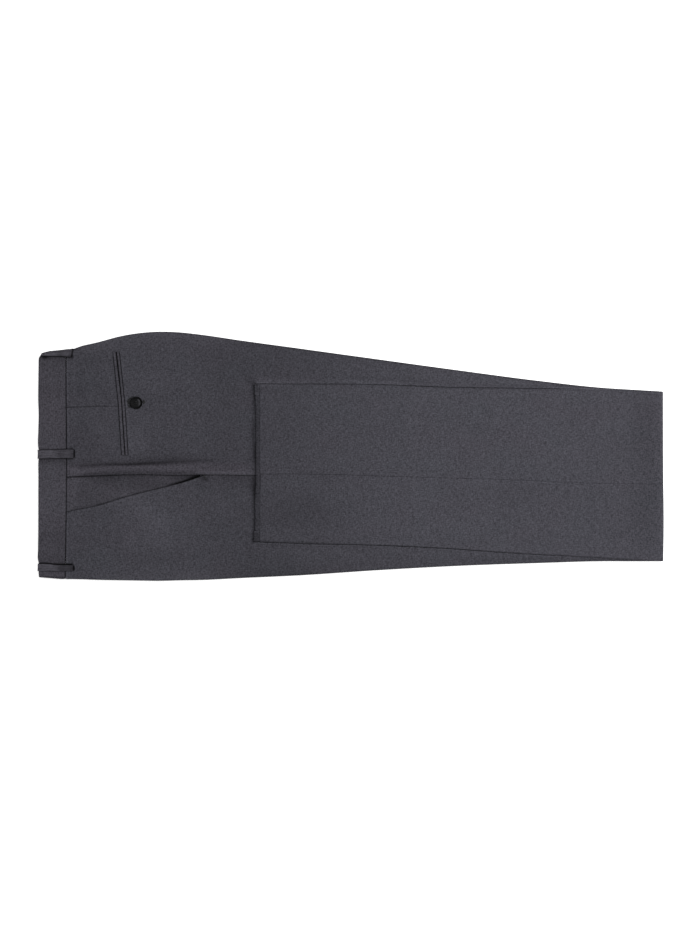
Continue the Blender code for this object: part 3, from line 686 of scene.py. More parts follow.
def shell(name, outer, inner, uv_outer, uv_inner, tone_outer, tone_inner, material, keep=None, sharp=50.0, rosy=None):
    """A closed shell: an outer grid and an inner one, rows by columns, joined round all four sides. The inner grid has the columns in `keep`."""
    rows, n = outer.shape[:2]
    keep = np.arange(n) if keep is None else np.asarray(keep)
    inner, uv_inner, tone_inner = inner[:, keep], uv_inner[:, keep], tone_inner[:, keep]
    m = len(keep)
    O = np.arange(rows * n).reshape(rows, n)
    I = rows * n + np.arange(rows * m).reshape(rows, m)
    faces = np.stack([O[:-1, :-1], O[:-1, 1:], O[1:, 1:], O[1:, :-1]], axis=-1).reshape(-1, 4).tolist()
    faces += np.stack([I[:-1, :-1], I[1:, :-1], I[1:, 1:], I[:-1, 1:]], axis=-1).reshape(-1, 4).tolist()
    faces += np.stack([O[:-1, 0], O[1:, 0], I[1:, 0], I[:-1, 0]], axis=-1).tolist()
    faces += np.stack([O[1:, -1], O[:-1, -1], I[:-1, -1], I[1:, -1]], axis=-1).tolist()
    faces += strip(O[0].tolist(), I[0].tolist(), list(range(n)), keep.tolist())
    faces += [f[::-1] for f in strip(O[-1].tolist(), I[-1].tolist(), list(range(n)), keep.tolist())]
    points = np.concatenate([outer.reshape(-1, 3), inner.reshape(-1, 3)])
    # outward faces, whichever way the grids run
    a, b, c, d = (outer[:-1, :-1], outer[:-1, 1:], outer[1:, 1:], outer[1:, :-1])
    normal = np.cross(c - a, d - b)
    near = inner[np.arange(rows - 1)[:, None], np.clip(np.searchsorted(keep, np.arange(n - 1)), 0, m - 1)[None, :]]
    if (normal * ((a + c) / 2 - near)).sum() < 0:
        faces = [f[::-1] for f in faces]
    uv = np.concatenate([uv_outer.reshape(-1, 2), uv_inner.reshape(-1, 2)])
    tone = np.concatenate([tone_outer.ravel(), tone_inner.ravel()])
    if rosy is not None:
        rosy = np.concatenate([rosy.ravel(), np.zeros(tone_inner.size)])
    return build(name, points, faces, uv, tone, material, sharp, rosy)


# ---------------------------------------------------------------- materials
class Nodes:
    """A material's node tree, with short names for the nodes this file uses."""

    def __init__(self, name):
        self.material = bpy.data.materials.new(name)
        self.material.use_nodes = True
        self.tree = self.material.node_tree
        self.shader = self.tree.nodes["Principled BSDF"]

    def node(self, kind, **settings):
        made = self.tree.nodes.new(kind)
        for key, value in settings.items():
            setattr(made, key, value)
        return made

    def put(self, socket, value):
        if hasattr(value, "is_output"):
            self.tree.links.new(value, socket)
        else:
            socket.default_value = value

    def math(self, operation, a, b=0.0, c=0.0):
        made = self.node("ShaderNodeMath", operation=operation)
        for socket, value in zip(made.inputs, (a, b, c)):
            self.put(socket, value)
        return made.outputs[0]

    def vector(self, operation, a, b=(0.0, 0.0, 0.0)):
        made = self.node("ShaderNodeVectorMath", operation=operation)
        self.put(made.inputs[0], a)
        self.put(made.inputs[1], b)
        return made.outputs[0]

    def noise(self, vector, scale=1.0, detail=0.0, roughness=0.5):
        made = self.node("ShaderNodeTexNoise", noise_dimensions="3D")
        self.put(made.inputs["Vector"], vector)
        self.put(made.inputs["Scale"], scale)
        self.put(made.inputs["Detail"], detail)
        self.put(made.inputs["Roughness"], roughness)
        return made.outputs[0]

    def around(self, value, amount):
        """amount x (value - 0.5)"""
        return self.math("MULTIPLY", self.math("SUBTRACT", value, 0.5), amount)


def cloth(name, colour, warp_along=True, warp=1.0, weft=1.0, warm=0.0, bump=0.35, run=1.0):
    """Fine worsted in a plain weave of mixed grey yarns. The map "cloth" is in metres, its first direction along the leg."""
    m = Nodes(name)
    uv = m.node("ShaderNodeUVMap", uv_map="cloth").outputs[0]
    mm = m.vector("MULTIPLY", uv, (1000.0, 1000.0, 0.0))
    split = m.node("ShaderNodeSeparateXYZ")
    m.put(split.inputs[0], mm)
    u, v = (split.outputs[0], split.outputs[1]) if warp_along else (split.outputs[1], split.outputs[0])

    def stretched(length, width, seed, swap=False):
        both = m.node("ShaderNodeCombineXYZ")
        m.put(both.inputs[0], m.math("MULTIPLY", v if swap else u, 1.0 / length))
        m.put(both.inputs[1], m.math("MULTIPLY", u if swap else v, 1.0 / width))
        m.put(both.inputs[2], seed)
        return both.outputs[0]

    # yarns: each runs light and dark over a few millimetres
    warp_yarn = m.noise(stretched(3.5 * run, 1.10, 3.1), 1.0, 1.0, 0.6)
    weft_yarn = m.noise(stretched(2.9, 1.05, 17.7, True), 1.0, 1.0, 0.6)
    fleck = m.noise(stretched(1.1, 0.45, 41.3), 1.0, 0.0)
    cloud = m.noise(stretched(19.0, 14.0, 7.9), 1.0, 2.0, 0.55)
    drift = m.noise(stretched(120.0, 90.0, 23.0), 1.0, 1.0, 0.5)
    # the weave itself: threads over and under
    ends = m.math("SINE", m.math("MULTIPLY", u, 2 * math.pi / 0.62))
    picks = m.math("SINE", m.math("MULTIPLY", v, 2 * math.pi / 0.54))
    weave = m.math("MULTIPLY", ends, picks)
    # the vertices' tone: painted light and shade, with the cloth's own uneven tone
    tone = m.node("ShaderNodeAttribute", attribute_name="tone", attribute_type="GEOMETRY").outputs["Fac"]

    value = m.math("ADD", m.around(warp_yarn, 1.32 * warp), m.around(weft_yarn, 1.27 * weft))
    value = m.math("ADD", value, m.around(fleck, 0.40))
    value = m.math("ADD", value, m.around(cloud, 0.09))
    value = m.math("ADD", value, m.around(drift, 0.06))
    value = m.math("ADD", value, m.math("MULTIPLY", weave, 0.062))
    value = m.math("MAXIMUM", m.math("ADD", value, 1.0), 0.25)
    value = m.math("MULTIPLY", value, tone)
    # a slow change between a cooler and a warmer grey
    mix = m.node("ShaderNodeMix", data_type="RGBA")
    mix.clamp_factor = True
    rosy = m.node("ShaderNodeAttribute", attribute_name="rosy", attribute_type="GEOMETRY").outputs["Fac"]
    m.put(mix.inputs[0], m.math("ADD", m.math("ADD", m.around(m.noise(stretched(46.0, 38.0, 61.0), 1.0, 1.0), 1.0), 0.4 + warm), rosy))
    cool, rosy = (colour[0] * 0.985, colour[1] * 1.012, colour[2] * 1.005), (colour[0] * 1.03, colour[1] * 0.985, colour[2] * 0.995)
    mix.inputs["A"].default_value = (*cool, 1.0)
    mix.inputs["B"].default_value = (*rosy, 1.0)
    mix.inputs[6].default_value = (*cool, 1.0)
    mix.inputs[7].default_value = (*rosy, 1.0)
    scaled = m.node("ShaderNodeVectorMath", operation="SCALE")
    m.put(scaled.inputs[0], mix.outputs[2])
    m.put(scaled.inputs["Scale"], value)
    m.put(m.shader.inputs["Base Color"], scaled.outputs[0])
    # yarn crowns are a little smoother than the gaps
    m.put(m.shader.inputs["Roughness"], m.math("ADD", m.around(warp_yarn, -0.12), 0.86))
    height = m.math("ADD", m.math("MULTIPLY", weave, 0.05), m.math("ADD", m.around(warp_yarn, 0.22), m.around(weft_yarn, 0.22)))
    made = m.node("ShaderNodeBump")
    made.inputs["Strength"].default_value = bump
    made.inputs["Distance"].default_value = 0.0005
    m.put(made.inputs["Height"], height)
    m.put(m.shader.inputs["Normal"], made.outputs[0])
    m.shader.inputs["Specular IOR Level"].default_value = 0.06
    m.shader.inputs["Sheen Weight"].default_value = 0.04
    m.shader.inputs["Sheen Roughness"].default_value = 0.45
    m.shader.inputs["Sheen Tint"].default_value = (0.80, 0.78, 0.88, 1.0)
    m.material.diffuse_color = (*colour, 1.0)
    return m.material


def horn():
    """Dark polished horn with faint streaks."""
    m = Nodes("button_horn")
    where = m.node("ShaderNodeTexCoord").outputs["Object"]
    streak_and_painted_light = m.noise(m.vector("MULTIPLY", where, (260.0, 900.0, 400.0)), 1.0, 3.0, 0.6)
    fine = m.noise(m.vector("MULTIPLY", where, (2600.0, 2600.0, 2600.0)), 1.0, 1.0)
    ramp = m.node("ShaderNodeValToRGB")
    m.put(ramp.inputs[0], streak_and_painted_light)
    ramp.color_ramp.elements[0].position, ramp.color_ramp.elements[0].color = 0.35, (0.0110, 0.0110, 0.0122, 1)
    ramp.color_ramp.elements[1].position, ramp.color_ramp.elements[1].color = 0.75, (0.0260, 0.0252, 0.0272, 1)
    # the vertices' tone carries a painted highlight and painted shade
    scaled = m.node("ShaderNodeVectorMath", operation="SCALE")
    m.put(scaled.inputs[0], ramp.outputs[0])
    m.put(scaled.inputs["Scale"], m.node("ShaderNodeAttribute", attribute_name="tone", attribute_type="GEOMETRY").outputs["Fac"])
    m.put(m.shader.inputs["Base Color"], scaled.outputs[0])
    m.put(m.shader.inputs["Roughness"], m.math("ADD", m.around(fine, 0.25), 0.50))
    made = m.node("ShaderNodeBump")
    made.inputs["Strength"].default_value = 0.15
    made.inputs["Distance"].default_value = 0.0002
    m.put(made.inputs["Height"], fine)
    m.put(m.shader.inputs["Normal"], made.outputs[0])
    m.shader.inputs["Specular IOR Level"].default_value = 0.05
    m.material.diffuse_color = (0.012, 0.012, 0.013, 1)
    return m.material


def thread(name, colour):
    """Twisted sewing thread. The map's first direction, in metres, runs along it."""
    m = Nodes(name)
    uv = m.node("ShaderNodeUVMap", uv_map="cloth").outputs[0]
    twist = m.node("ShaderNodeTexWave", wave_type="BANDS", bands_direction="DIAGONAL")
    m.put(twist.inputs["Vector"], m.vector("MULTIPLY", uv, (1000.0, 1000.0, 0.0)))
    m.put(twist.inputs["Scale"], 1.6)
    m.put(twist.inputs["Distortion"], 0.6)
    value = m.math("ADD", m.math("MULTIPLY", twist.outputs["Fac"], 0.7), 0.65)
    tone = m.node("ShaderNodeAttribute", attribute_name="tone", attribute_type="GEOMETRY").outputs["Fac"]
    value = m.math("MULTIPLY", value, tone)
    scaled = m.node("ShaderNodeVectorMath", operation="SCALE")
    scaled.inputs[0].default_value = colour
    m.put(scaled.inputs["Scale"], value)
    m.put(m.shader.inputs["Base Color"], scaled.outputs[0])
    m.put(m.shader.inputs["Roughness"], m.math("ADD", m.math("MULTIPLY", twist.outputs["Fac"], -0.15), 0.75))
    made = m.node("ShaderNodeBump")
    made.inputs["Strength"].default_value = 0.4
    made.inputs["Distance"].default_value = 0.0002
    m.put(made.inputs["Height"], twist.outputs["Fac"])
    m.put(m.shader.inputs["Normal"], made.outputs[0])
    m.shader.inputs["Specular IOR Level"].default_value = 0.3
    m.shader.inputs["Sheen Weight"].default_value = 0.1
    m.material.diffuse_color = (*colour, 1.0)
    return m.material


SUIT = (0.0533, 0.0520, 0.0623)
MATERIALS = {
    "leg": cloth("suiting", SUIT),
    "band": cloth("suiting_waistband", (0.0571, 0.0549, 0.0658), warp_along=False, warp=1.1, weft=0.9, warm=0.25),
    "facing": cloth("suiting_pocket", (0.0509, 0.0490, 0.0586), warm=0.15),
    "inner": cloth("suiting_inside", (0.0523, 0.0510, 0.0612), bump=0.25),
    "horn": horn(),
    "thread": thread("sewing_thread", (0.020, 0.0195, 0.0225)),
    "dark_thread": thread("button_thread", (0.0095, 0.0095, 0.0103)),
}

PIECES = {}


def keep_piece(ob, slot, *nodes):
    if nodes:
        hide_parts(*nodes)
    PIECES[ob.name] = ob
    return ob


# ---------------------------------------------------------------- leg panels
LOOP_ROWS = [43.0, 43.3, 43.6, 43.9, 44.3, 44.7]  # close rows past the ends of the belt loops
EDGE_STEPS = [0.0, 0.08, 0.2, 0.36, 0.6, 0.95, 1.5, 2.4, 3.6, 5.2, 7.0, 9.0]
SLOT_ROWS = [6.6, 5.4, 4.7, 4.3, 4.02, 3.86, 3.80, 3.72, 3.3, 1.7]
UPPER_SLOT_ROWS = [d + WELT_MORE * (0.5 if d < 2.0 else 1.0) for d in SLOT_ROWS]


def leg_rows(side, pocket):
    """Codes and values of the rows, from the waistband's seam round the knee fold to the hem."""
    hem = HEM_LEFT if side == "left" else HEM_RIGHT
    step = 2.5 if side == "left" else 4.0
    upper = [BAND_END + d for d in EDGE_STEPS]
    if pocket:
        upper += LOOP_ROWS + list(np.arange(BAND_END + 11.5, WELT_MID - 8.6, step))
        upper += [WELT_MID - d for d in UPPER_SLOT_ROWS] + [WELT_MID] + [WELT_MID + d for d in SLOT_ROWS[::-1]]
        upper += list(np.arange(WELT_MID + 8.5, 258.0, step))
    else:
        upper += LOOP_ROWS + list(np.arange(BAND_END + 11.5, 258.0, step))
    upper += list(np.arange(260.0, FOLD_START - 2.0, 5.5)) + [FOLD_START]
    turns = [math.pi * k / 20 for k in range(1, 20)]
    lower = [FOLD_START] + list(np.arange(FOLD_START - 2.5, hem + 11.0, -(3.0 if side == "right" else 8.0)))
    if side == "left":  # closer rows where the strip past the upper hem begins
        lower += [hem + 9.0, hem + 7.6, hem + 6.9, hem + 6.6, hem + 6.4, hem + 6.2, hem + 5.9, hem + 5.2] + [hem + d for d in EDGE_STEPS[8::-1]]
    else:
        lower += [hem + d for d in EDGE_STEPS[::-1]]
    code = np.array([UP] * len(upper) + [BEND] * len(turns) + [DOWN] * len(lower))[:, None]
    return code, np.array(upper + turns + lower, float)[:, None]


def by_part(code, value, upper, lower):
    """A table read on each row at its own place, with the bend at the knee's edge."""
    at = np.where(code == BEND, KNEE_EDGE, value)
    return np.where(code == DOWN, lower(at), upper(at))


def edge_lines(side, which, code, value):
    """Where a panel's outer face begins and where its crease starts to turn."""
    out = -1 if which == "front" else 1
    line = front_line if which == "front" else seat_line
    edge = by_part(code, value, lambda x: line(UPPER, x), lambda x: line(LOWER, x))
    start = by_part(code, value, lambda x: curve(SIDE_SEAM, x), lambda x: curve(LOWER_SEAM, x))
    if which == "front":
        at = np.where(code == UP, value, 999.0)
        start = np.where(at < MOUTH_END, curve(POCKET_MOUTH, at), start)
    # round the fold at the knee the seam is pressed shut, and below it nearly so
    shut = np.where(code == BEND, 1.0, smooth(KNEE_EDGE - 22.0, KNEE_EDGE - 6.0, value))
    shut = np.where(code == DOWN, np.maximum(0.5 + 0.35 * smooth(600.0, 690.0, value), shut), shut)
    return start + out * GAP / 2 * (1 - 0.8 * shut), edge - out * OUTER_R


def back_columns(code, row, start, turn):
    """Across positions of a back panel's columns. Some follow the dart and the ends of the pocket."""
    near_pocket = (1 - smooth(12.0, 40.0, np.abs(row - WELT_MID))) * (code == UP)
    near_dart = (1 - smooth(95.0, 135.0, row)) * (code == UP)
    near_loop = (1 - smooth(46.0, 62.0, row)) * (code == UP)
    near_fold = smooth(235.0, 262.0, row) * (1 - smooth(600.0, 735.0, row)) * (code == UP)
    fold = np.minimum(seat_line(LOWER, np.maximum(row, HEM_LEFT)) + 0.3, turn - 6.0)
    pins = [
        (np.where(row < 65.0, 8.1, 1.0), np.where(row < 65.0, near_loop, near_pocket)),
        (curve(DART, row), near_dart),
        (np.where(row < 200.0, 125.3, fold), np.where(row < 200.0, near_pocket, near_fold)),
    ]
    shares = [(1.0 + 22.7) / 166.1, (59.6 + 22.7) / 166.1, (125.3 + 22.7) / 166.1]
    lines = [start]
    for (pin, weight), share in zip(pins, shares):
        free = start + (turn - start) * share
        lines.append(free + (pin - free) * weight)
    lines.append(turn)
    around = [
        EDGE_STEPS,
        [-1.6, -0.8, -0.35, -0.12, 0.0, 0.08, 0.6, 1.6],
        [-1.7, -0.9, -0.5, -0.24, -0.1, 0.0, 0.1, 0.24, 0.5, 0.9, 1.7],
        [-1.6, -0.6, -0.08, 0.0, 0.12, 0.35, 0.8, 1.6],
        [-5.0, -3.2, -1.8, -0.8, -0.3, 0.0],
    ]
    counts = [13, 24, 27, 5]
    columns = []
    for k, offsets in enumerate(around):
        columns += [lines[k] + d for d in offsets]
        if k < 4:
            first, last = columns[-1], lines[k + 1] + around[k + 1][0]
            columns += [first + (last - first) * j / counts[k] for j in range(1, counts[k])]
    return columns


def front_columns(code, row, start, turn):
    """Across positions of a front panel's columns. Some follow the belt loop's edge, and further down the edge of the folded-back legs."""
    near_loop = (1 - smooth(48.0, 84.0, row)) * (code == UP)
    near_fold = smooth(235.0, 262.0, row) * (1 - smooth(600.0, 735.0, row)) * (code == UP)
    fold = np.maximum(front_line(LOWER, np.maximum(row, HEM_LEFT)) - 0.3, turn + 8.0)
    middle = start + (turn - start) * 0.70
    middle = middle + (np.where(row < 150.0, -129.2, fold) - middle) * np.where(row < 150.0, near_loop, near_fold)
    columns = [start - d for d in EDGE_STEPS]
    first, last = columns[-1], middle + 2.0
    columns += [first + (last - first) * j / 30 for j in range(1, 30)]
    columns += [middle + d for d in (2.0, 1.3, 0.8, 0.4, 0.0, -0.4, -0.9, -1.5, -2.4)]
    first, last = columns[-1], turn + 5.0
    columns += [first + (last - first) * j / 12 for j in range(1, 12)]
    return columns + [turn + d for d in (5.0, 3.2, 1.8, 0.8, 0.3, 0.0)]


def slot_distance(row, y):
    """How far a place is outside the back pocket's opening, negative inside it."""
    off = row - WELT_MID
    return np.maximum(np.maximum(off, -off - WELT_MORE) - WELT_SLOT / 2, np.maximum(1.0 - y, y - 125.3))


def path(code, x):
    """Length along the leg from the waistband's top edge, round the fold."""
    half = FOLD_MID * math.pi
    return np.where(code == UP, x, np.where(code == BEND, FOLD_START + FOLD_MID * x, 2 * FOLD_START + half - x))


def panel(side, which):
    out = -1 if which == "front" else 1
    code, row = leg_rows(side, which == "back")
    x = row
    for _ in range(5):
        start, turn = edge_lines(side, which, code, x)
        columns = front_columns(code, row, start, turn) if which == "front" else back_columns(code, row, start, turn)
        y = np.concatenate(np.broadcast_arrays(*columns), axis=1) if columns[0].shape[1] == 1 else np.stack([c[:, k] for k, c in enumerate(columns)], axis=1)
        if which == "front":
            x = np.broadcast_to(row, y.shape)
            start, turn = np.broadcast_to(start, y.shape), np.broadcast_to(turn, y.shape)
            break
        # the rows near the back pocket follow its mouth
        follow = (1 - smooth(10.0, 46.0, np.abs(row - WELT_MID))) * (code == UP)
        x = row + (curve(WELT_LINE, y) - WELT_MID) * follow
    code2 = np.broadcast_to(code, y.shape)
    x = x + curve(BAND_LINE, y) * (1 - smooth(BAND_END + 1.0, BAND_END + 18.0, x)) * (code2 == UP)
    if side == "left":
        near_hem = (1 - smooth(HEM_LEFT, HEM_LEFT + 5.4, x)) * (code2 == DOWN)
        x = x + curve(HEM_LINE, y) * near_hem
        hem_at = HEM_LEFT + curve(HEM_LINE, y)
    else:
        hem_at = np.full(y.shape, HEM_RIGHT)
    q = np.abs(y - start)
    rise, tone = relief_at_rows(side, code2, x, y)
    shut = np.where(code2 == BEND, 1.0, smooth(KNEE_EDGE - 22.0, KNEE_EDGE - 6.0, x))
    outer = np.where(code2 == UP, roll(q), roll(q, 0.22, 0.05, 1.0)) * (1 - 0.6 * shut)
    if which == "front":  # the mouth of the slant pocket is a soft folded edge
        mouth = (code2 == UP) & (row < MOUTH_END - 3.0)
        outer = np.where(mouth, roll(q, 0.62, 0.18, 1.0), outer)
        gape = 0.35 * smooth(138.0, 165.0, x) * (1 - smooth(186.0, 197.0, x)) * np.exp(-((q / 3.0) ** 2)) * (code2 == UP)
        y = y - gape
    from_band = np.where(code2 == UP, np.broadcast_to(row, y.shape) - BAND_END, 99.0)
    from_hem = np.where(code2 == DOWN, x - hem_at, 99.0)
    outer = np.maximum(outer, roll(from_band))
    outer = np.maximum(outer, roll(from_hem, 0.45, 0.05, 1.0))
    inner = np.full(y.shape, CLOTH)
    # painted shade in the ditches
    strength = by_part(code, x, lambda a: straight(SEAM_DARK, a), lambda a: straight(LOWER_SEAM_DARK, a))
    if side == "right":
        strength = np.where(code2 == UP, 0.7, strength)
    wide = 0.75 + 0.18 * (1 - smooth(90.0, 100.0, x)) + (0.65 * np.exp(-(((x - 187.0) / 9.0) ** 2)) if which == "back" else 0.0)
    dark = 1 - 0.85 * strength * np.exp(-((q / np.where(code2 == UP, wide, 0.6)) ** 2))
    # painted shadow in the gaping mouth of the slant pocket, painted light on the front panel beside it
    if which == "front" and side == "left":
        wedge = smooth(158.0, 172.0, x) * (1 - smooth(196.0, 201.0, x)) * (code2 == UP)
        dark = dark * (1 - 0.92 * wedge * np.exp(-((q / 0.6) ** 2)))
        lit = smooth(36.0, 60.0, x) * (1 - smooth(184.0, 196.0, x)) * (code2 == UP)
        dark = dark * (1 + 0.16 * lit * np.exp(-(((q - 2.0) / 1.3) ** 2)))
    # painted shade in the waistband's seam, and painted light just past it
    dark = dark * (1 - 0.72 * np.exp(-((from_band / 0.7) ** 2)))
    dark = dark * (1 + (0.42 if side == "left" else 0.1) * np.exp(-(((from_band - 1.75) / 0.75) ** 2)) + 0.07 * np.exp(-(((from_band - 4.5) / 2.4) ** 2)))
    # painted shade on the hem's edge; on the right leg strongest round its middle, with painted light along the rest of
    # that edge
    if side == "left":
        dark = dark * (1 - (0.24 + 0.5 * straight(HEM_SHADE, y, 1)) * np.exp(-((from_hem / 0.45) ** 2)))
    else:
        darker = np.exp(-(((y + 31.0) / 15.0) ** 4))
        dark = dark * (1 - (0.85 * darker - 0.30) * np.exp(-((from_hem / (0.45 + 0.45 * darker)) ** 2)))
    # painted shade on the pressed edges; the relief's tone draws them a little lighter just inside
    column = 2 if which == "front" else 1
    rim_dark = np.where(code2 == UP, straight(CREASE_DARK, x, column), (0.34 - 0.22 * smooth(300.0, 420.0, x)) if which == "front" else 0.14)
    outline = np.abs(turn - y) + OUTER_R
    rim_wide = np.where((code2 == DOWN) & (which == "front"), 2.4 - 0.85 * smooth(300.0, 420.0, x), 1.55)
    dark = dark * (1 - rim_dark * np.exp(-((outline / rim_wide) ** 3)))
    if side == "left":  # the lower hem's turned-up end lies in the upper one's shade
        dark = np.where(code2 == DOWN, dark * (1 - 0.22 * (1 - smooth(HEM_RIGHT - 0.5, HEM_RIGHT + 1.0, x))), dark)
        # contact shadows of what lies on the upper leg
        upper = code2 == UP
        dark = np.where(upper, dark * loop_shadows(x, y), dark)
        foot = HEM_LEFT + curve(HEM_LINE, y)
        away, ends = np.maximum(foot - x, 0.0), smooth(-106.0, -100.0, y) * (1 - smooth(84.0, 88.5, y))
        deep = 1 - straight(HEM_SHADE, y, 1) * ends * np.exp(-((away / 1.2) ** 2))
        deep = deep * (1 - straight(HEM_SHADE, y, 2) * ends * np.exp(-(((away - straight(HEM_SHADE, y, 4)) / straight(HEM_SHADE, y, 3)) ** 2)))
        dark = np.where(upper, dark * deep, dark)
    if which == "back":
        # painted shade in the back pocket's opening and along its edges, and painted light on the cloth just below it
        gap = np.where(code2 == UP, slot_distance(np.broadcast_to(row, y.shape), y), 99.0)
        inside = gap < -0.03
        outer = np.where(inside, CLOTH + 0.22, np.maximum(outer, roll(gap, 0.32, 0.10, 0.9)))
        inner = np.where(inside, CLOTH + 0.22 + CLOTH, inner)
        below = smooth(0.0, 1.0, row - WELT_MID - WELT_SLOT / 2) * (y > 0.0) * (y < 126.3)
        beside = smooth(0.6, 2.2, y) * (1 - smooth(123.6, 125.4, y))
        fade = 1 - 0.45 * smooth(112.0, 124.0, y) * (row < WELT_MID)
        dark = np.where(inside, 0.10 + 0.45 * (1 - beside), dark * (1 - (0.70 - 0.16 * below * (1 - smooth(60.0, 80.0, y))) * beside * fade * np.exp(-((gap / 0.62) ** 2))) * (1 + 0.20 * below * np.exp(-(((gap - 1.9) / 1.3) ** 2))))
        # the dart, with painted shade along it
        off = np.where((code2 == UP) & (x < 94.5), y - curve(DART, x), 99.0)
        outer = np.maximum(outer, 0.42 * np.exp(-((off / 0.30) ** 2)))
        outer = outer + 0.10 * np.exp(-((off / 2.2) ** 2))
        strength = np.interp(x, [33.7, 50.0, 70.0, 94.0], [0.72, 0.62, 0.48, 0.42])
        dark = dark * (1 - strength * np.exp(-((off / 0.42) ** 2)))
    outer = np.minimum(outer, inner - 0.2)

    # on round the crease and along the lip
    angles = np.linspace(0.0, math.pi, 13)[1:]
    lips = np.array([1.5, 4.0, 7.5, LIP])
    last, turn1 = turn[:, -1:], turn[:, -1:]
    crease_y = np.concatenate([last + out * OUTER_R * np.sin(angles), turn1 - out * lips], axis=1)
    crease_out = np.concatenate([OUTER_R - OUTER_R * np.cos(angles), np.full(4, 2 * OUTER_R)])
    crease_iny = np.concatenate([last + out * INNER_R * np.sin(angles), turn1 - out * lips], axis=1)
    crease_in = np.concatenate([OUTER_R - INNER_R * np.cos(angles), np.full(4, OUTER_R + INNER_R)])
    if side == "left":
        opened = np.where(code2[:, -1:] == DOWN, 1.6 * (1 - smooth(265.3, 265.75, x[:, -1:])), 0.0)
        turning = np.concatenate([(1 - np.cos(angles)) / 2, np.ones(4)])
        crease_out, crease_in = crease_out + opened * turning, crease_in + opened * turning
    more = len(angles) + 4
    x_all = np.concatenate([x, np.repeat(x[:, -1:], more, axis=1)], axis=1)
    yo = np.concatenate([y, crease_y], axis=1)
    yi = np.concatenate([y, crease_iny], axis=1)
    rows = len(row)
    do = np.concatenate([outer, np.broadcast_to(crease_out, (rows, more))], axis=1)
    di = np.concatenate([inner, np.broadcast_to(crease_in, (rows, more))], axis=1)
    # the rounded ends go on round the crease
    end_roll = np.minimum(np.maximum(roll(from_band[:, -1:]), roll(from_hem[:, -1:], 0.45, 0.05, 1.0)), 0.8)
    pull = np.concatenate([np.zeros(y.shape), np.repeat(end_roll, more, axis=1)], axis=1)
    turned = np.concatenate([np.zeros(y.shape[1]), angles, np.full(4, math.pi)])
    do = do + pull * np.cos(turned)
    yo = yo - out * pull * np.sin(turned)
    rise = np.concatenate([rise, np.zeros((rows, more))], axis=1)
    tone = np.concatenate([tone, np.repeat(tone[:, -1:], more, axis=1)], axis=1)
    # painted shade round the crease, and a little on the lip
    amount = 0.55 * rim_dark[:, -1:]
    rim = np.concatenate([1 - amount * smooth(0.1, 0.8, angles), np.full((rows, 4), 0.95)], axis=1)
    dark = np.concatenate([dark, np.repeat(dark[:, -1:], more, axis=1) * rim], axis=1)
    if side == "left":  # painted light on the turned-in end between the hems, against the shade there
        between = (code == DOWN) & (x_all < HEM_RIGHT) * np.concatenate([np.zeros(y.shape[1], bool), np.ones(more, bool)])
        dark = dark * (1 + between * (1.9 * np.exp(-(((HEM_RIGHT - x_all) / 0.9) ** 2)) + 0.45 * (np.arange(x_all.shape[1]) == x_all.shape[1] - 1)))
    reach = np.concatenate([np.zeros(y.shape[1]), OUTER_R * angles, OUTER_R * math.pi + lips])
    across = np.concatenate([y, np.repeat(last, more, axis=1)], axis=1) + out * reach

    low, top = faces_of_stack(x_all)
    flat = np.broadcast_to(code, x_all.shape) != UP
    low, top = np.where(flat, 0.0, low), np.where(flat, LEG_STACK, top)
    sign = 1.0 if side == "left" else -1.0
    face = top if side == "left" else low
    move_in = np.maximum(rise, 0.0)  # troughs thin the wall, rises carry it
    ho = face - sign * (do - rise)
    hi = face - sign * (di - move_in)
    part = np.broadcast_to(code, x_all.shape)
    uv = np.stack([path(part, x_all), across], axis=-1)
    light = np.clip((1 + tone) * dark, 0.02, 2.7)
    n = x_all.shape[1]
    keep = np.unique(np.concatenate([np.arange(0, n - more, 2), np.arange(n - more - 1, n)]))
    # the inner face is drawn darker: painted shade
    ob = shell(
        f"{side}_{which}_cloth",
        place(part, x_all, yo, ho),
        place(part, x_all, yi, hi),
        uv,
        uv,
        light,
        np.full(light.shape, 0.55),
        MATERIALS["leg"],
        keep,
        rosy=0.75 * np.exp(-(((yo - curve(SIDE_SEAM, x_all) - 8.0) / 9.0) ** 2)) * (part == UP) * (1 - smooth(235.0, 265.0, x_all)),
    )
    # the cut: its greatest width and its length, and the area from the same tables
    start1, turn1 = edge_lines(side, which, code, row)
    width = np.abs(turn1 - start1)[:, 0] + math.pi * OUTER_R + LIP
    length = path(code, row)[:, 0]
    area = float((np.diff(length) * (width[1:] + width[:-1]) / 2).sum())
    keep_piece(ob, "suiting", f"{side}_{which}")
    return ob, (float(width.max()), float(length[-1] - length[0])), area


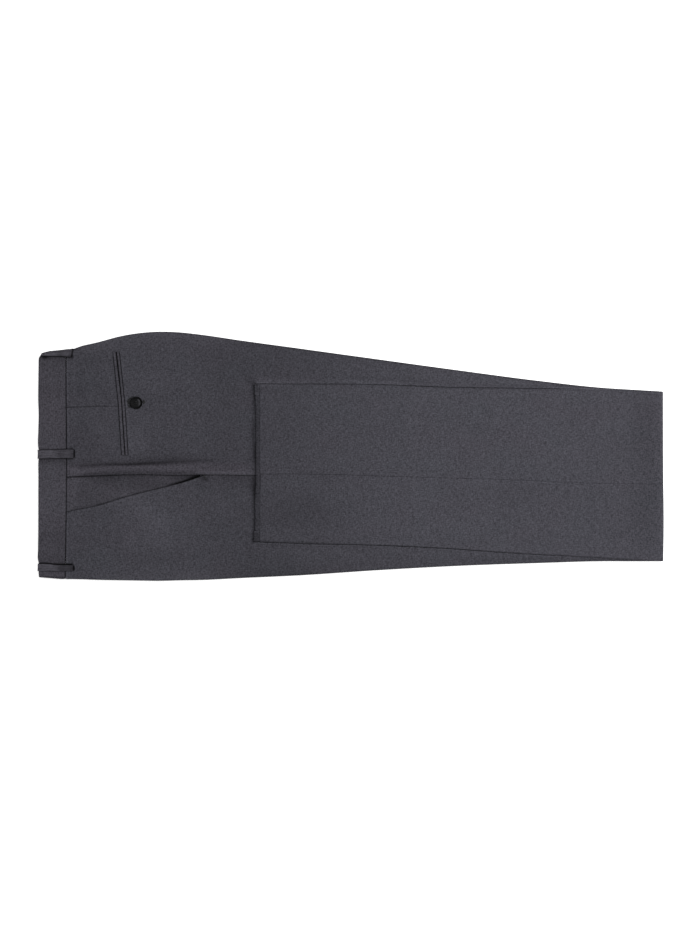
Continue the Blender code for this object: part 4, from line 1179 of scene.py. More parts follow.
# ---------------------------------------------------------------- slant-pocket facing
def facing(side):
    rows = np.array([BAND_END + d for d in EDGE_STEPS[:-2]] + list(np.arange(43.0, 192.0, 2.5)) + [194.0])[:, None]
    seam = curve(SIDE_SEAM, rows) - GAP / 2
    mouth = curve(POCKET_MOUTH, rows)
    steps = np.concatenate([np.array(EDGE_STEPS[:8]), np.zeros(16)])
    width = seam - mouth
    q = [np.minimum(d, width * 0.3 * (k + 1) / 8) for k, d in enumerate(EDGE_STEPS[:8])]
    first = q[-1]
    q += [first + (width + 9.0 - first) * j / 22 for j in range(1, 23)]
    q = np.concatenate(np.broadcast_arrays(*q), axis=1)
    y = seam - q
    share = np.clip(q / np.maximum(width, 2.0), 0.0, 2.0)
    x = np.broadcast_to(rows, y.shape)
    under = CLOTH + GAP + 0.05
    # rolls off the seam, dips, swells in the middle and slips under the front panel; towards the tack it sinks and the mouth gapes
    sink = smooth(120.0, 180.0, x)
    dip = 0.30 * np.exp(-(((q - 3.4) / 2.4) ** 2)) * smooth(40.0, 70.0, x)
    depth = 0.12 + dip + (under - 0.12) * smooth(0.42, 0.90, share)
    depth = np.maximum(depth, (under + 0.25 * sink) * smooth(0.05, 0.75, share) * sink)
    depth = depth + 0.35 * sink * smooth(0.35, 1.0, share)
    depth = np.maximum(depth, roll(q))
    depth = np.maximum(depth, roll(x - BAND_END))
    depth = np.where(share >= 0.98, np.maximum(depth, under), depth)
    rise, tone = relief(side, UP, x, y)
    if side == "left":
        # painted light by the waistband's seam and in the middle, painted shade in two places and growing towards the
        # mouth's end
        tone = tone + 0.16 * np.exp(-(((x - 38.0) / 5.0) ** 2))
        tone = tone + 0.05 * np.exp(-(((x - 82.0) / 24.0) ** 2 + ((y + 41.0) / 7.0) ** 2))
        tone = tone - 0.07 * np.exp(-(((x - 54.0) / 6.0) ** 2 + ((y + 46.0) / 9.0) ** 2))
        tone = tone - 0.12 * np.exp(-(((x - 128.0) / 20.0) ** 2 + ((y + 36.0) / 6.0) ** 2))
        tone = tone - 0.10 * smooth(140.0, 165.0, x) - 0.30 * smooth(165.0, 182.0, x)
    # painted shade in the side seam's ditch and the waistband's seam, with painted light just past the latter
    strength = straight(SEAM_DARK, x)
    dark = 1 - 0.85 * strength * np.exp(-((q / 0.80) ** 2))
    dark = dark * (1 - 0.72 * np.exp(-(((x - BAND_END) / 0.7) ** 2))) * (1 + 0.36 * np.exp(-(((x - BAND_END - 1.75) / 0.75) ** 2)))
    # shadow of the front panel's edge, deeper where the mouth gapes
    to_mouth = width - q
    reach = 0.65 + 1.25 * smooth(136.0, 170.0, x) + 0.9 * smooth(176.0, 190.0, x)
    dark = dark * (1 - (0.62 + 0.36 * smooth(150.0, 172.0, x)) * np.exp(-((np.maximum(to_mouth, 0.0) / reach) ** 3)))
    low, top = faces_of_stack(x)
    sign = 1.0 if side == "left" else -1.0
    face = top if side == "left" else low
    rise = np.where(share > 0.95, np.minimum(rise, 0.2), rise) if side == "left" else rise
    lift = np.maximum(rise, 0.0)
    ho = face - sign * (depth - lift)
    hi = face - sign * (np.maximum(depth, roll(np.zeros(1))[0] * 0 + depth) + CLOTH - lift)
    part = np.zeros(x.shape, int)
    uv = np.stack([x, y], axis=-1)
    light = np.clip((1 + tone) * dark, 0.02, 2.0)
    x = x + curve(BAND_LINE, y) * (1 - smooth(BAND_END + 1.0, BAND_END + 18.0, x))
    # the inner face is drawn darker: painted shade
    ob = shell(
        f"{side}_pocket_facing_cloth", place(part, x, y, ho), place(part, x, y, hi), uv, uv, light, np.full(light.shape, 0.5), MATERIALS["facing"]
    )
    keep_piece(ob, "suiting", f"{side}_pocket_facing")
    wide = (width + 9.0)[:, 0]
    area = float((np.diff(rows[:, 0]) * (wide[1:] + wide[:-1]) / 2).sum())
    return ob, (float(wide.max()), float(rows[-1, 0] - rows[0, 0])), area


# ---------------------------------------------------------------- hidden layers
def hidden_layers():
    """Inner leg halves and pocket bags, one rounded solid between the outer layers, with two rounded edges showing at each side and at the hems."""
    upper = [12.0, 12.3, 12.9, 14.0, 18.0, 24.0] + list(np.arange(30.0, FOLD_START - 3.0, 6.0)) + [FOLD_START]
    turns = [math.pi * k / 16 for k in range(1, 16)]
    lower = [FOLD_START] + list(np.arange(FOLD_START - 6.0, HEM_RIGHT + 8.0, -7.0))
    right_end, left_end = HEM_RIGHT + 0.3, HEM_LEFT + 0.3
    lower += [right_end + d for d in (5.0, 2.0, 1.0, 0.5, 0.25, 0.1, 0.0)]
    lower += [right_end - d for d in (0.02, 0.35, 0.5, 0.65, 0.8, 1.1)] + [left_end + d for d in (4.4, 3.2, 2.0, 1.0, 0.5, 0.25, 0.1, 0.0)]
    code = np.array([UP] * len(upper) + [BEND] * len(turns) + [DOWN] * len(lower))[:, None]
    value = np.array(upper + turns + lower, float)[:, None]
    at = np.where(code == BEND, KNEE_EDGE, value)
    seat = np.where(code == DOWN, seat_line(LOWER, at), curve(UPPER, at, 1))
    front = np.where(code == DOWN, front_line(LOWER, at), curve(UPPER, at, 2))
    up = code == UP
    depth = np.where(up, eased(HIDDEN, at, 1), CLOTH + GAP)
    inset = np.where(up, eased(HIDDEN, at, 2), 14.0)
    inset = np.where(code == DOWN, 13.25 + 0.75 * smooth(280.0, 300.0, at), inset)
    low, top = faces_of_stack(at)
    low, top = np.where(up, low, 0.0) + depth, np.where(up, top, LEG_STACK) - depth
    y0, y1 = front + inset, seat - inset
    middle = (low + top) / 2
    # the rounded end inside the waistband
    t = np.where(up, np.clip((value - 12.0) / 2.0, 0.0, 1.0), 1.0)
    shrink = np.sqrt(np.maximum(1 - (1 - t) ** 2, 0.02))
    low, top = middle + (low - middle) * shrink, middle + (top - middle) * shrink
    y0, y1 = y0 + 4 * (1 - shrink), y1 - 4 * (1 - shrink)
    notch = 0.06

    # the section's upper run, from notch to notch; the lower one mirrors it
    def run(face):
        half = np.abs(face - middle)
        r = np.minimum(0.45, half * 0.42)
        away = np.sign(face - middle)
        ys, hs = [y0 + 0.5, y0 + 0.12], [middle + away * notch, middle + away * (notch + 0.06)]
        for a in (0.0, 30.0, 60.0, 90.0):
            ys.append(y0 + r * (1 - math.cos(math.radians(a))))
            hs.append(face - away * r * (1 - math.sin(math.radians(a))))
        for f in np.linspace(0.0, 1.0, 30)[1:-1]:
            ys.append(y0 + r + (y1 - y0 - 2 * r) * f)
            hs.append(face + 0 * y0)
        for a in (90.0, 60.0, 30.0, 0.0):
            ys.append(y1 - r * (1 - math.cos(math.radians(a))))
            hs.append(face - away * r * (1 - math.sin(math.radians(a))))
        ys += [y1 - 0.12, y1 - 0.5]
        hs += [middle + away * (notch + 0.06), middle + away * notch]
        return np.concatenate(np.broadcast_arrays(*ys), axis=1), np.concatenate(np.broadcast_arrays(*hs), axis=1)

    yt, ht = run(top)  # the left leg's inner half
    yb, hb = run(low)  # the right leg's
    x = np.broadcast_to(value, yt.shape)
    part = np.broadcast_to(code, yt.shape)
    down = part == DOWN
    # past the right leg's own end, only the left leg's layer runs on
    past = down & (x < right_end - 0.01)
    # it stands up beside the upper hem, thick with the turned-up end
    full = (0.8 + 0.2 * smooth(0.0, 9.0, yb - y0) * smooth(0.0, 9.0, y1 - yb)) * (0.55 + 0.45 * smooth(left_end, left_end + 2.4, x))
    flat_low = middle + notch + 0.04 - 2.0 * full * (1 - smooth(right_end - 0.8, right_end - 0.4, x))
    hb = np.where(past, np.minimum(flat_low, ht - 0.05), hb)
    # rounded ends of both layers
    q = np.where(down & ~past, x - right_end, 99.0)
    hb = hb + np.minimum(roll(q, 0.4, 0.0), 0.4) * ((hb < middle - 0.2) & down)
    q = np.where(down, x - left_end, 99.0)
    bend_in = np.minimum(roll(q, 0.4, 0.0), 0.4)
    ht = ht - bend_in * (ht > middle + 0.3)
    hb = hb + bend_in * past * 0.8
    hb = np.where(past, np.minimum(hb, ht - 0.08), hb)
    uv_t = np.stack([path(part, x), yt], axis=-1)
    uv_b = np.stack([path(part, x), yb], axis=-1)
    # painted shade at the left layer's end
    at_end = np.exp(-((np.where(down, x - left_end, 99.0) / 0.5) ** 2))
    tone_t = 0.95 - 0.3 * at_end
    # painted shadow on the strip that shows beside the upper hem, close to it, with painted light right at the upper
    # hem's edge and at the strip's two ends, and painted shade at its end by the lower hem
    from_upper = np.where(past, right_end - x, 99.0)
    strip_tone = 0.84 - 0.27 * np.exp(-(((from_upper - 2.6) / 1.5) ** 2)) + 0.55 * np.exp(-((from_upper / 0.9) ** 2)) - 0.10 * at_end
    strip_tone = strip_tone * (1 + 0.35 * np.exp(-(((yb - y0) / 1.1) ** 2)) + 0.35 * np.exp(-(((y1 - yb) / 1.1) ** 2)))
    tone_b = np.where(past, strip_tone, 0.95)
    # its end follows the lower hem
    near_end = (1 - smooth(left_end, left_end + 5.2, x)) * down
    xt, xb = x + curve(HEM_LINE, yt) * near_end, x + curve(HEM_LINE, yb) * near_end
    ob = shell("inner_layers_cloth", place(part, xt, yt, ht), place(part, xb, yb, hb), uv_t, uv_b, tone_t, tone_b, MATERIALS["inner"])
    keep_piece(ob, "suiting_inside", "inner_layers")
    wide = (y1 - y0)[:, 0]
    length = path(code, value)[:, 0]
    area = float((np.abs(np.diff(length)) * (wide[1:] + wide[:-1]) / 2).sum())
    return ob, (float(wide.max()), float(length[-1] - length[0])), area


# ---------------------------------------------------------------- waistband
def band_rise(side, x, y):
    """How far the waistband's face swells, and its tone: the cloth's own uneven tone, and on the left side painted
    light and shade.
    """
    inside = smooth(0.5, 8.0, x) * (1 - smooth(27.0, BAND_DEPTH, x))
    seat, front = curve(UPPER, x, 1), curve(UPPER, x, 2)
    inside = inside * smooth(1.0, 14.0, seat - y) * smooth(1.0, 14.0, y - front)
    swell = (0.26 + 0.10 * waves(x, y, 46.0, 41)) * inside
    tone = 0.018 * waves(x, y, 40.0, 43)
    if side == "left":
        # painted shade towards the seam, and painted light and shade along the band
        tone = tone - 0.06 * smooth(20.0, 27.0, x)
        for middle, half, light in ((112.0, 7.0, -0.14), (78.0, 7.0, -0.06), (64.0, 6.0, 0.06), (40.0, 24.0, 0.03), (-50.0, 25.0, 0.11), (-102.0, 14.0, -0.12), (-124.0, 6.0, -0.17)):
            tone = tone + light * np.exp(-(((y - middle) / half) ** 2))
    return (swell if side == "left" else -0.4 * swell), tone


def edge_shift(x, y):
    """The top edge is not quite straight, and its seat corner is rounded in plan."""
    x = np.maximum(x, 0.0)
    b = np.clip((-143.8 - y) / 1.5, 0.0, 1.0)
    front = 0.8 * (1 - np.sqrt(1 - b**2)) * np.maximum(0.0, 1 - x / 12.0)
    return front + (0.25 + curve(WAIST_EDGE, y)) * (1 - smooth(1.0, 9.0, x)) + straight(SEAT_CORNER, y) * np.maximum(0.0, 1 - x / 13.5)


def waistband(side):
    r, ri = BAND_CLOTH + GAP / 2, GAP / 2
    half = BAND_CLOTH / 2
    top_steps = [half * (1 - math.cos(math.radians(a))) for a in (5, 12, 26, 42, 58, 74, 90)]
    xs = np.array(top_steps + [1.1, 1.8, 3.0] + list(np.linspace(5.0, 28.0, 13)) + [BAND_DEPTH - d for d in EDGE_STEPS[8::-1]])[:, None]
    seat, front = curve(UPPER, xs, 1), curve(UPPER, xs, 2)
    a, b = front + r, seat - r
    arc = np.linspace(0.0, math.pi, 13)
    # the face's depth where the top edge turns over, and at the seam
    over = half - np.sqrt(np.maximum(half**2 - np.clip(half - xs, 0.0, half) ** 2, 0.0))
    seam_roll = np.minimum(roll(BAND_DEPTH - xs, 0.55, 0.22, 1.3), 1.1)
    draw = np.maximum(over, seam_roll)
    back = np.where(xs < half, BAND_CLOTH - over, BAND_CLOTH)
    ys, ds, yi, di, vs = [], [], [], [], []

    def add(yo, do, y_in, d_in, v):
        ys.append(yo)
        ds.append(do)
        yi.append(y_in)
        di.append(d_in)
        vs.append(v)

    lip_in = r + ri + (BAND_CLOTH - back)
    for d in (BAND_LIP, 14.0, 7.0, 2.0):
        add(a + d, 2 * r - draw, a + d, lip_in, a - math.pi * r - d)
    for t in arc:
        add(a - (r - draw) * math.sin(t), r + (r - draw) * math.cos(t), a - (ri + BAND_CLOTH - back) * math.sin(t), r + (ri + BAND_CLOTH - back) * math.cos(t), a - (math.pi - t) * r)
    towards = [-2.4, -1.7, -1.2, -0.8, -0.4, 0.0, 0.5]
    away = [-d for d in towards[::-1]]
    edges = [loop_edges(name, first, last, xs) for name, first, last in LOOPS]
    stops = [[a + d for d in (0.3, 0.9, 1.9, 3.2)]]
    for (edge_a, edge_b), (name, first, last) in zip(edges, LOOPS):
        stops.append([edge_a + d for d in (towards if last is not None else towards[1:6])])
        if last is not None:
            stops.append([edge_b + d for d in away])
    stops.append([b - d for d in (0.7, 0.25)])
    middle, counts = [], [2, 4, 38, 5, 38, 1]
    for k, group in enumerate(stops):
        middle += group
        if k < len(counts):
            here, there = group[-1], stops[k + 1][0]
            middle += [here + (there - here) * j / counts[k] for j in range(1, counts[k])]
    for y in middle:
        add(y, draw, y, back, y)
    for t in arc:
        add(b + (r - draw) * math.sin(t), r - (r - draw) * math.cos(t), b + (ri + BAND_CLOTH - back) * math.sin(t), r - (ri + BAND_CLOTH - back) * math.cos(t), b + t * r)
    for d in (2.0, 7.0, 14.0, BAND_LIP):
        add(b - d, 2 * r - draw, b - d, lip_in, b + math.pi * r + d)
    yo, do, y_in, d_in, v = (np.concatenate(np.broadcast_arrays(*c), axis=1) for c in (ys, ds, yi, di, vs))
    x = np.broadcast_to(xs, yo.shape)
    swell, tone = band_rise(side, x, yo)
    face = np.zeros(yo.shape[1], bool)
    face[4 + 13 : 4 + 13 + len(middle)] = True
    swell = np.where(face, swell, 0.0)
    sign = 1.0 if side == "left" else -1.0
    level = BAND_TOP if side == "left" else BAND_LOW
    ho = level - sign * (do - (swell if side == "left" else swell))
    hi = level - sign * d_in
    near_seam = smooth(16.0, BAND_DEPTH - 1.0, x)
    xo, xi = x + edge_shift(x, yo) + curve(BAND_LINE, yo) * near_seam, x + edge_shift(x, y_in) + curve(BAND_LINE, y_in) * near_seam
    part = np.zeros(x.shape, int)
    uv = np.stack([x, v], axis=-1)
    # painted shade in the seam below it, darkest in two places
    strength = 0.70 + 0.22 * np.exp(-(((yo - 28.0) / 22.0) ** 2)) + 0.2 * np.exp(-(((yo + 118.0) / 24.0) ** 2))
    dark = 1 - strength * np.exp(-(((BAND_DEPTH - x) / 0.75) ** 2))
    # painted shade on the turned top edge, painted light just below it
    dark = dark * (1 - 0.50 * np.exp(-((x / 1.15) ** 4))) * (1 + 0.16 * np.exp(-(((x - 2.1) / 0.7) ** 2)))
    # painted shade on the creases at both ends, and along the front end
    rim = np.concatenate([np.zeros(4), np.sin(arc) ** 0.5, np.zeros(len(middle)), np.sin(arc) ** 0.5, np.zeros(4)])
    dark = dark * (1 - 0.45 * rim) * (1 - 0.50 * np.exp(-(((yo - front) / 2.3) ** 4)) * (1 - rim[None, :]))
    if side == "left":
        dark = dark * loop_shadows(x, yo)
    light = np.clip((1 + tone) * dark, 0.04, 2.0)
    # the lips and the inner face are drawn darker: painted shade
    light = np.where(face | (np.abs(do - r) < r + 0.01), light, 0.6)
    ob = shell(f"{side}_waistband_cloth", place(part, xo, yo, ho), place(part, xi, y_in, hi), uv, uv, light, np.full(light.shape, 0.5), MATERIALS["band"])
    keep_piece(ob, "suiting", f"{side}_waistband")
    wide = float((seat - front).max() - 2 * r + 2 * math.pi * r + 2 * BAND_LIP)
    return ob, (BAND_DEPTH, wide), BAND_DEPTH * float((seat - front).mean() - 2 * r + 2 * math.pi * r + 2 * BAND_LIP)


# ---------------------------------------------------------------- belt loops
def band_face(side, x):
    """What a loop lies on: radius of the crease's roll, height of its centre."""
    t = np.clip((x - BAND_END) / 3.3, 0.0, 1.0)
    low, top = straight(STACK, np.maximum(x, BAND_END), 1), straight(STACK, np.maximum(x, BAND_END), 2)
    band_r, panel_r = BAND_CLOTH + GAP / 2, CLOTH + GAP / 2
    r = band_r + (panel_r - band_r) * t
    if side == "left":
        return r, BAND_TOP + (top - BAND_TOP) * t - r, 1.0
    return r, np.minimum(BAND_LOW + (low - BAND_LOW) * t, BAND_LOW) + r, -1.0


def belt_loop(side, name, first, last):
    """A strap over the waistband's top edge and down its face, its end turned under and tacked below the seam."""
    g, c = GAP, LOOP_CLOTH
    # outer run: place along and clearance, round the top edge first; then the inner run at the same steps
    outer, inner = [(-g - c, -1.0), (-g - c, -0.4)], [(-g, -1.0), (-g, -0.4)]
    for a in np.linspace(0.0, 90.0, 9):
        s, k = math.sin(math.radians(a)), math.cos(math.radians(a))
        outer.append((0.55 - (g + c + 0.55) * k, -0.35 + (g + c + 0.35) * s))
        inner.append((0.55 - (g + 0.55) * k, -0.35 + (g + 0.35) * s))
    for x in list(np.linspace(1.2, 38.0, 24)) + [39.0, 40.2, 41.0, 41.6]:
        outer.append((x, g + c))
        inner.append((x, g))
    for a in np.linspace(10.0, 90.0, 7):
        s, k = math.sin(math.radians(a)), math.cos(math.radians(a))
        outer.append((LOOP_END - 0.85 + 0.85 * s, g + 0.15 + (c - 0.15) * k))
        inner.append((min(41.6 + 0.15 * a / 10.0, LOOP_END - 0.1), g))
    px, pc = np.array(outer).T[:, :, None]
    ix, ic = np.array(inner).T[:, :, None]
    edge = [0.0, 0.06, 0.16, 0.32, 0.55, 0.9, 1.5, 2.6, 3.9]
    if last is None:
        s = np.array([0.0, 0.06, 0.16, 0.32, 0.55, 0.9, 1.5, 2.3])
        flat = len(s)
        bends = np.concatenate([np.linspace(6.0, 96.0, 12), [99.0, 101.5, 103.5, 104.6, 105.0]])
        s = np.concatenate([s, bends])[None, :]
        from_edge = np.concatenate([[0.0, 0.06, 0.16, 0.32, 0.55, 0.9, 1.5, 2.3], np.full(12, 3.0), [0.9, 0.55, 0.28, 0.08, 0.0]])[None, :]
    else:
        width = last - first
        s = np.array(edge + [width / 2] + [width - e for e in edge[::-1]])[None, :]
        flat = s.shape[1]
        from_edge = np.minimum(s, width - s)
    sides = np.clip(1 - from_edge / 0.55, 0.0, 1.0)
    drop = 0.55 * (1 - np.sqrt(1 - sides**2))
    crown = (0.22 if side == "left" else 0.0) * smooth(0.0, 3.5, from_edge)
    swell = 0.26 if side == "left" else 0.0

    def lay(x, clear, is_outer):
        x, clear = np.broadcast_arrays(x, clear + 0 * s)
        r, centre, sense = band_face(side, x)
        lift = swell * smooth(0.5, 8.0, x) * (1 - smooth(38.0, 44.0, x))
        if is_outer:
            body = smooth(-0.6, 0.6, clear) * (1 - smooth(LOOP_END - 0.6, LOOP_END, x))
            clear = clear - drop * np.clip(body + 0.0, 0.0, 1.0) + crown * body * smooth(0.0, 6.0, x) * (1 - smooth(39.5, 41.5, x))
            # a row of stitches holds it down below the seam
            clear = clear - 0.30 * np.exp(-(((x - 38.6) / 0.9) ** 2)) * (1 - np.exp(-((from_edge / 0.5) ** 2)))
        clear = clear + lift
        station = np.maximum(0.0, x)
        seat = curve(UPPER, station, 1)
        turn = seat - r
        if last is not None:
            a, b = loop_edges(name, first, last, x)
            y = a + (b - a) * s / LOOP_WIDTH
            return x + edge_shift(x, y) - loop_back(name, y) * smooth(26.0, LOOP_END, x), y, centre + sense * (r + clear)
        angle = np.radians(np.where(np.arange(s.shape[1])[None, :] < flat, 0.0, s))
        on_face = np.arange(s.shape[1])[None, :] < flat
        # the flat part runs from the strap's edge to where the crease starts to turn
        share = np.where(on_face, s / 2.4, 0.0)
        near = loop_edges(name, first, last, x)[0]
        y_flat = near + (turn - near) * share
        y = np.where(on_face, y_flat, turn + (r + clear) * np.sin(angle))
        h = np.where(on_face, centre + sense * (r + clear), centre + sense * (r + clear) * np.cos(angle))
        # its end runs slanting
        return x + edge_shift(x, y) - loop_back(name, y) * smooth(26.0, LOOP_END, x), y, h

    xo, yo, ho = lay(px, pc, True)
    xi, yi, hi = lay(ix, ic, False)
    part = np.zeros(xo.shape, int)
    steps = np.hypot(np.diff(px[:, 0]), np.diff(pc[:, 0]))
    length = np.concatenate([[0.0], np.cumsum(steps)])[:, None]
    if last is None:
        arc = (BAND_CLOTH + GAP + 1.3) * np.radians(105.0)
        v = np.concatenate([np.linspace(0.0, 3.0, flat), 3.0 + arc * (s[0, flat:] / 105.0)])[None, :]
    else:
        v = s
    uv = np.stack(np.broadcast_arrays(v + 0 * length, length + 0 * v), axis=-1)
    # painted shade along the strap's edges, at its turned-under end and in the stitched dip; the strap is drawn a
    # little lighter on its upper part
    edge_dark = 0.75 + 0.0 * from_edge
    if name == "front":  # its edge towards the front lies close to the waistband
        edge_dark = np.where(s < LOOP_WIDTH / 2, 0.12, 0.85)
    dark = 1 - edge_dark * np.exp(-((from_edge / 0.42) ** 2))
    dark = dark * (1 - 0.95 * np.exp(-((np.maximum(LOOP_END - px, 0.0) / 0.95) ** 2)))
    dark = dark * (1 - 0.12 * np.exp(-(((px - 38.6) / 0.8) ** 2)))
    light = np.broadcast_to(dark, xo.shape) * (1.04 + 0.05 * waves(px * 0.35, s * 3.0, 9.0, 51 + len(name)) + 0.16 * np.exp(-(((px - 6.0) / 14.0) ** 2)))
    if side == "left":  # the lower end lies in shade
        light = light * (1 - {"front": 0.52, "side": 0.24, "back": 0.14}[name] * smooth(20.0, 31.0, px))
    if last is None:  # painted shade in the hollow where it turns over the corner and on its bend, and a lighter banded patch beside the hollow
        on_bend = np.arange(s.shape[1])[None, :] >= flat
        light = light * (1 - 0.92 * np.exp(-(((xo - 7.2) / 3.2) ** 2 + ((yo - 119.9) / 1.1) ** 2)))
        light = light + 0.55 * np.exp(-(((xo - 8.6) / 2.2) ** 2 + ((yo - 122.8) / 1.6) ** 2)) * (0.5 + 0.5 * np.cos((xo - 8.6) * 3.0))
        light = light * (1 - 0.72 * np.where(on_bend, smooth(26.0, 56.0, s), 0.0))
    # the inner face is drawn darker: painted shade
    ob = shell(f"{side}_loop_{name}_cloth", place(part, xo, yo, ho), place(part, xi, yi, hi), uv, uv, light, np.full(light.shape, 0.25), MATERIALS["loop"], sharp=60.0)
    keep_piece(ob, "suiting", f"{side}_loop_{name}")
    wide = LOOP_WIDTH if last is not None else 3.2 + float(np.radians(105.0) * 2.9)
    return ob, (wide, float(length[-1, 0])), wide * float(length[-1, 0])


# ---------------------------------------------------------------- back pocket
def welt(side, name, first, last):
    """One folded strip of the double-welt pocket, rounded along its fold, its ends drawn in a little."""
    y0, y1 = 1.0 + GAP, 125.3 - GAP
    proud = 0.2 if side == "left" else 0.0
    ys = np.concatenate([y0 + np.array([0, 0.15, 0.4, 0.9]), np.linspace(y0 + 2.5, y1 - 2.5, 56), y1 - np.array([0.9, 0.4, 0.15, 0])])[:, None]
    width = last - first
    share = np.concatenate([[0.0, 0.02, 0.05, 0.10, 0.17], np.linspace(0.26, 0.74, 6), [0.83, 0.90, 0.95, 0.98, 1.0]])[None, :]
    q = np.minimum(share, 1 - share) * width
    dx = first + width * share
    mouth_side = (1 - share) if name == "upper" else share  # 0 at the pocket's mouth
    r = 0.55
    inside = np.clip(1 - q / r, 0.0, 1.0)
    depth = r * (1 - np.sqrt(1 - inside**2)) + 0.10 * (1 - smooth(0.0, 1.6, q)) - proud - 0.06 * smooth(0.0, 0.5, mouth_side)
    ends = np.minimum(ys - y0, y1 - ys)
    depth = depth + 0.15 * np.exp(-((ends / 0.7) ** 2))
    y = np.broadcast_to(ys, depth.shape)
    x = curve(WELT_LINE, y) + dx
    rise, tone = relief(side, UP, x, y)
    rise = np.maximum(rise, 0.0) if side == "left" else 0 * rise
    # the strip rises with the face's relief
    low, top = faces_of_stack(x)
    sign = 1.0 if side == "left" else -1.0
    face = top if side == "left" else low
    depth = np.minimum(depth, CLOTH - 0.15) if side == "left" else np.clip(depth, 0.0, CLOTH - 0.15)
    ho = face - sign * (depth - rise)
    hi = face - sign * (CLOTH + 0.1 - rise) + 0 * ho
    # painted shadow along the mouth and the strip's edges, wider in the upper half, where the mouth opens slightly
    strength = np.where(mouth_side < 0.5, 1.0, 0.80)
    wider = 0.26 * smooth(62.0, 100.0, y) + 0.16 * smooth(84.0, 96.0, y) * (1 - smooth(118.0, 124.0, y))
    wider = wider + (0.16 if name == "upper" else -0.20) * (1 - smooth(54.0, 70.0, y))
    reach = np.where(mouth_side < 0.5, 0.52 + wider, 0.46)
    dark = 1 - strength * np.exp(-((q / reach) ** 2))
    light = np.clip((1.17 + tone) * dark, 0.02, 2.0)
    part = np.zeros(x.shape, int)
    uv = np.stack([x, y], axis=-1)
    # the inner face is drawn darker: painted shade
    ob = shell(f"{side}_welt_{name}_cloth", place(part, x, y, ho), place(part, x, y, hi), uv, uv, light, np.full(light.shape, 0.2), MATERIALS["facing"])
    keep_piece(ob, "suiting", f"{side}_welt_{name}")
    return ob, (width, y1 - y0), width * (y1 - y0)


def tube(points, radius, sides=8, closed=False):
    """Rings of a round thread along a line of points, in mm: (rows, sides, 3)."""
    points = np.asarray(points, float)
    if closed:
        ahead, behind = np.roll(points, -1, 0), np.roll(points, 1, 0)
        tangent = ahead - behind
    else:
        tangent = np.gradient(points, axis=0)
    tangent /= np.linalg.norm(tangent, axis=1)[:, None]
    up = np.where(np.abs(tangent[:, 2:]) > 0.95, np.array([[1.0, 0.0, 0.0]]), np.array([[0.0, 0.0, 1.0]]))
    side = np.cross(tangent, up)
    side /= np.linalg.norm(side, axis=1)[:, None]
    other = np.cross(side, tangent)
    angles = np.linspace(0, 2 * math.pi, sides, endpoint=False)
    radius = np.broadcast_to(np.asarray(radius, float), (len(points),))
    return points[:, None] + radius[:, None, None] * (np.cos(angles)[None, :, None] * side[:, None] + np.sin(angles)[None, :, None] * other[:, None])


def tubes(name, lines, radius, material, slot, sides=8):
    """Several threads in one piece. Each line is a list of (along, across, height) in mm."""
    points, faces, uv = [], [], []
    base = 0
    for line in lines:
        line = np.asarray(line, float)
        rings = tube(line, np.concatenate([[radius * 0.6], np.full(len(line) - 2, radius), [radius * 0.6]]), sides)
        n = len(line)
        index = base + np.arange(n * sides).reshape(n, sides)
        after = np.roll(index, -1, axis=1)
        faces += np.stack([index[:-1], index[1:], after[1:], after[:-1]], axis=-1).reshape(-1, 4).tolist()
        faces += [index[0].tolist(), index[-1][::-1].tolist()]
        length = np.concatenate([[0.0], np.cumsum(np.linalg.norm(np.diff(line, axis=0), axis=1))])
        uv.append(np.stack(np.broadcast_arrays(length[:, None], np.arange(sides)[None, :] * radius * 0.8), axis=-1).reshape(-1, 2))
        points.append(rings.reshape(-1, 3))
        base += n * sides
    points = np.concatenate(points)
    points[:, 0] += ORIGIN
    ob = build(name, points * MM, faces, np.concatenate(uv), np.ones(len(points)), material)
    return keep_piece(ob, slot)


def top_of_left(x, y):
    """Height of the left side's outer face."""
    rise, _ = relief("left", UP, x, y)
    return faces_of_stack(x)[1] + rise


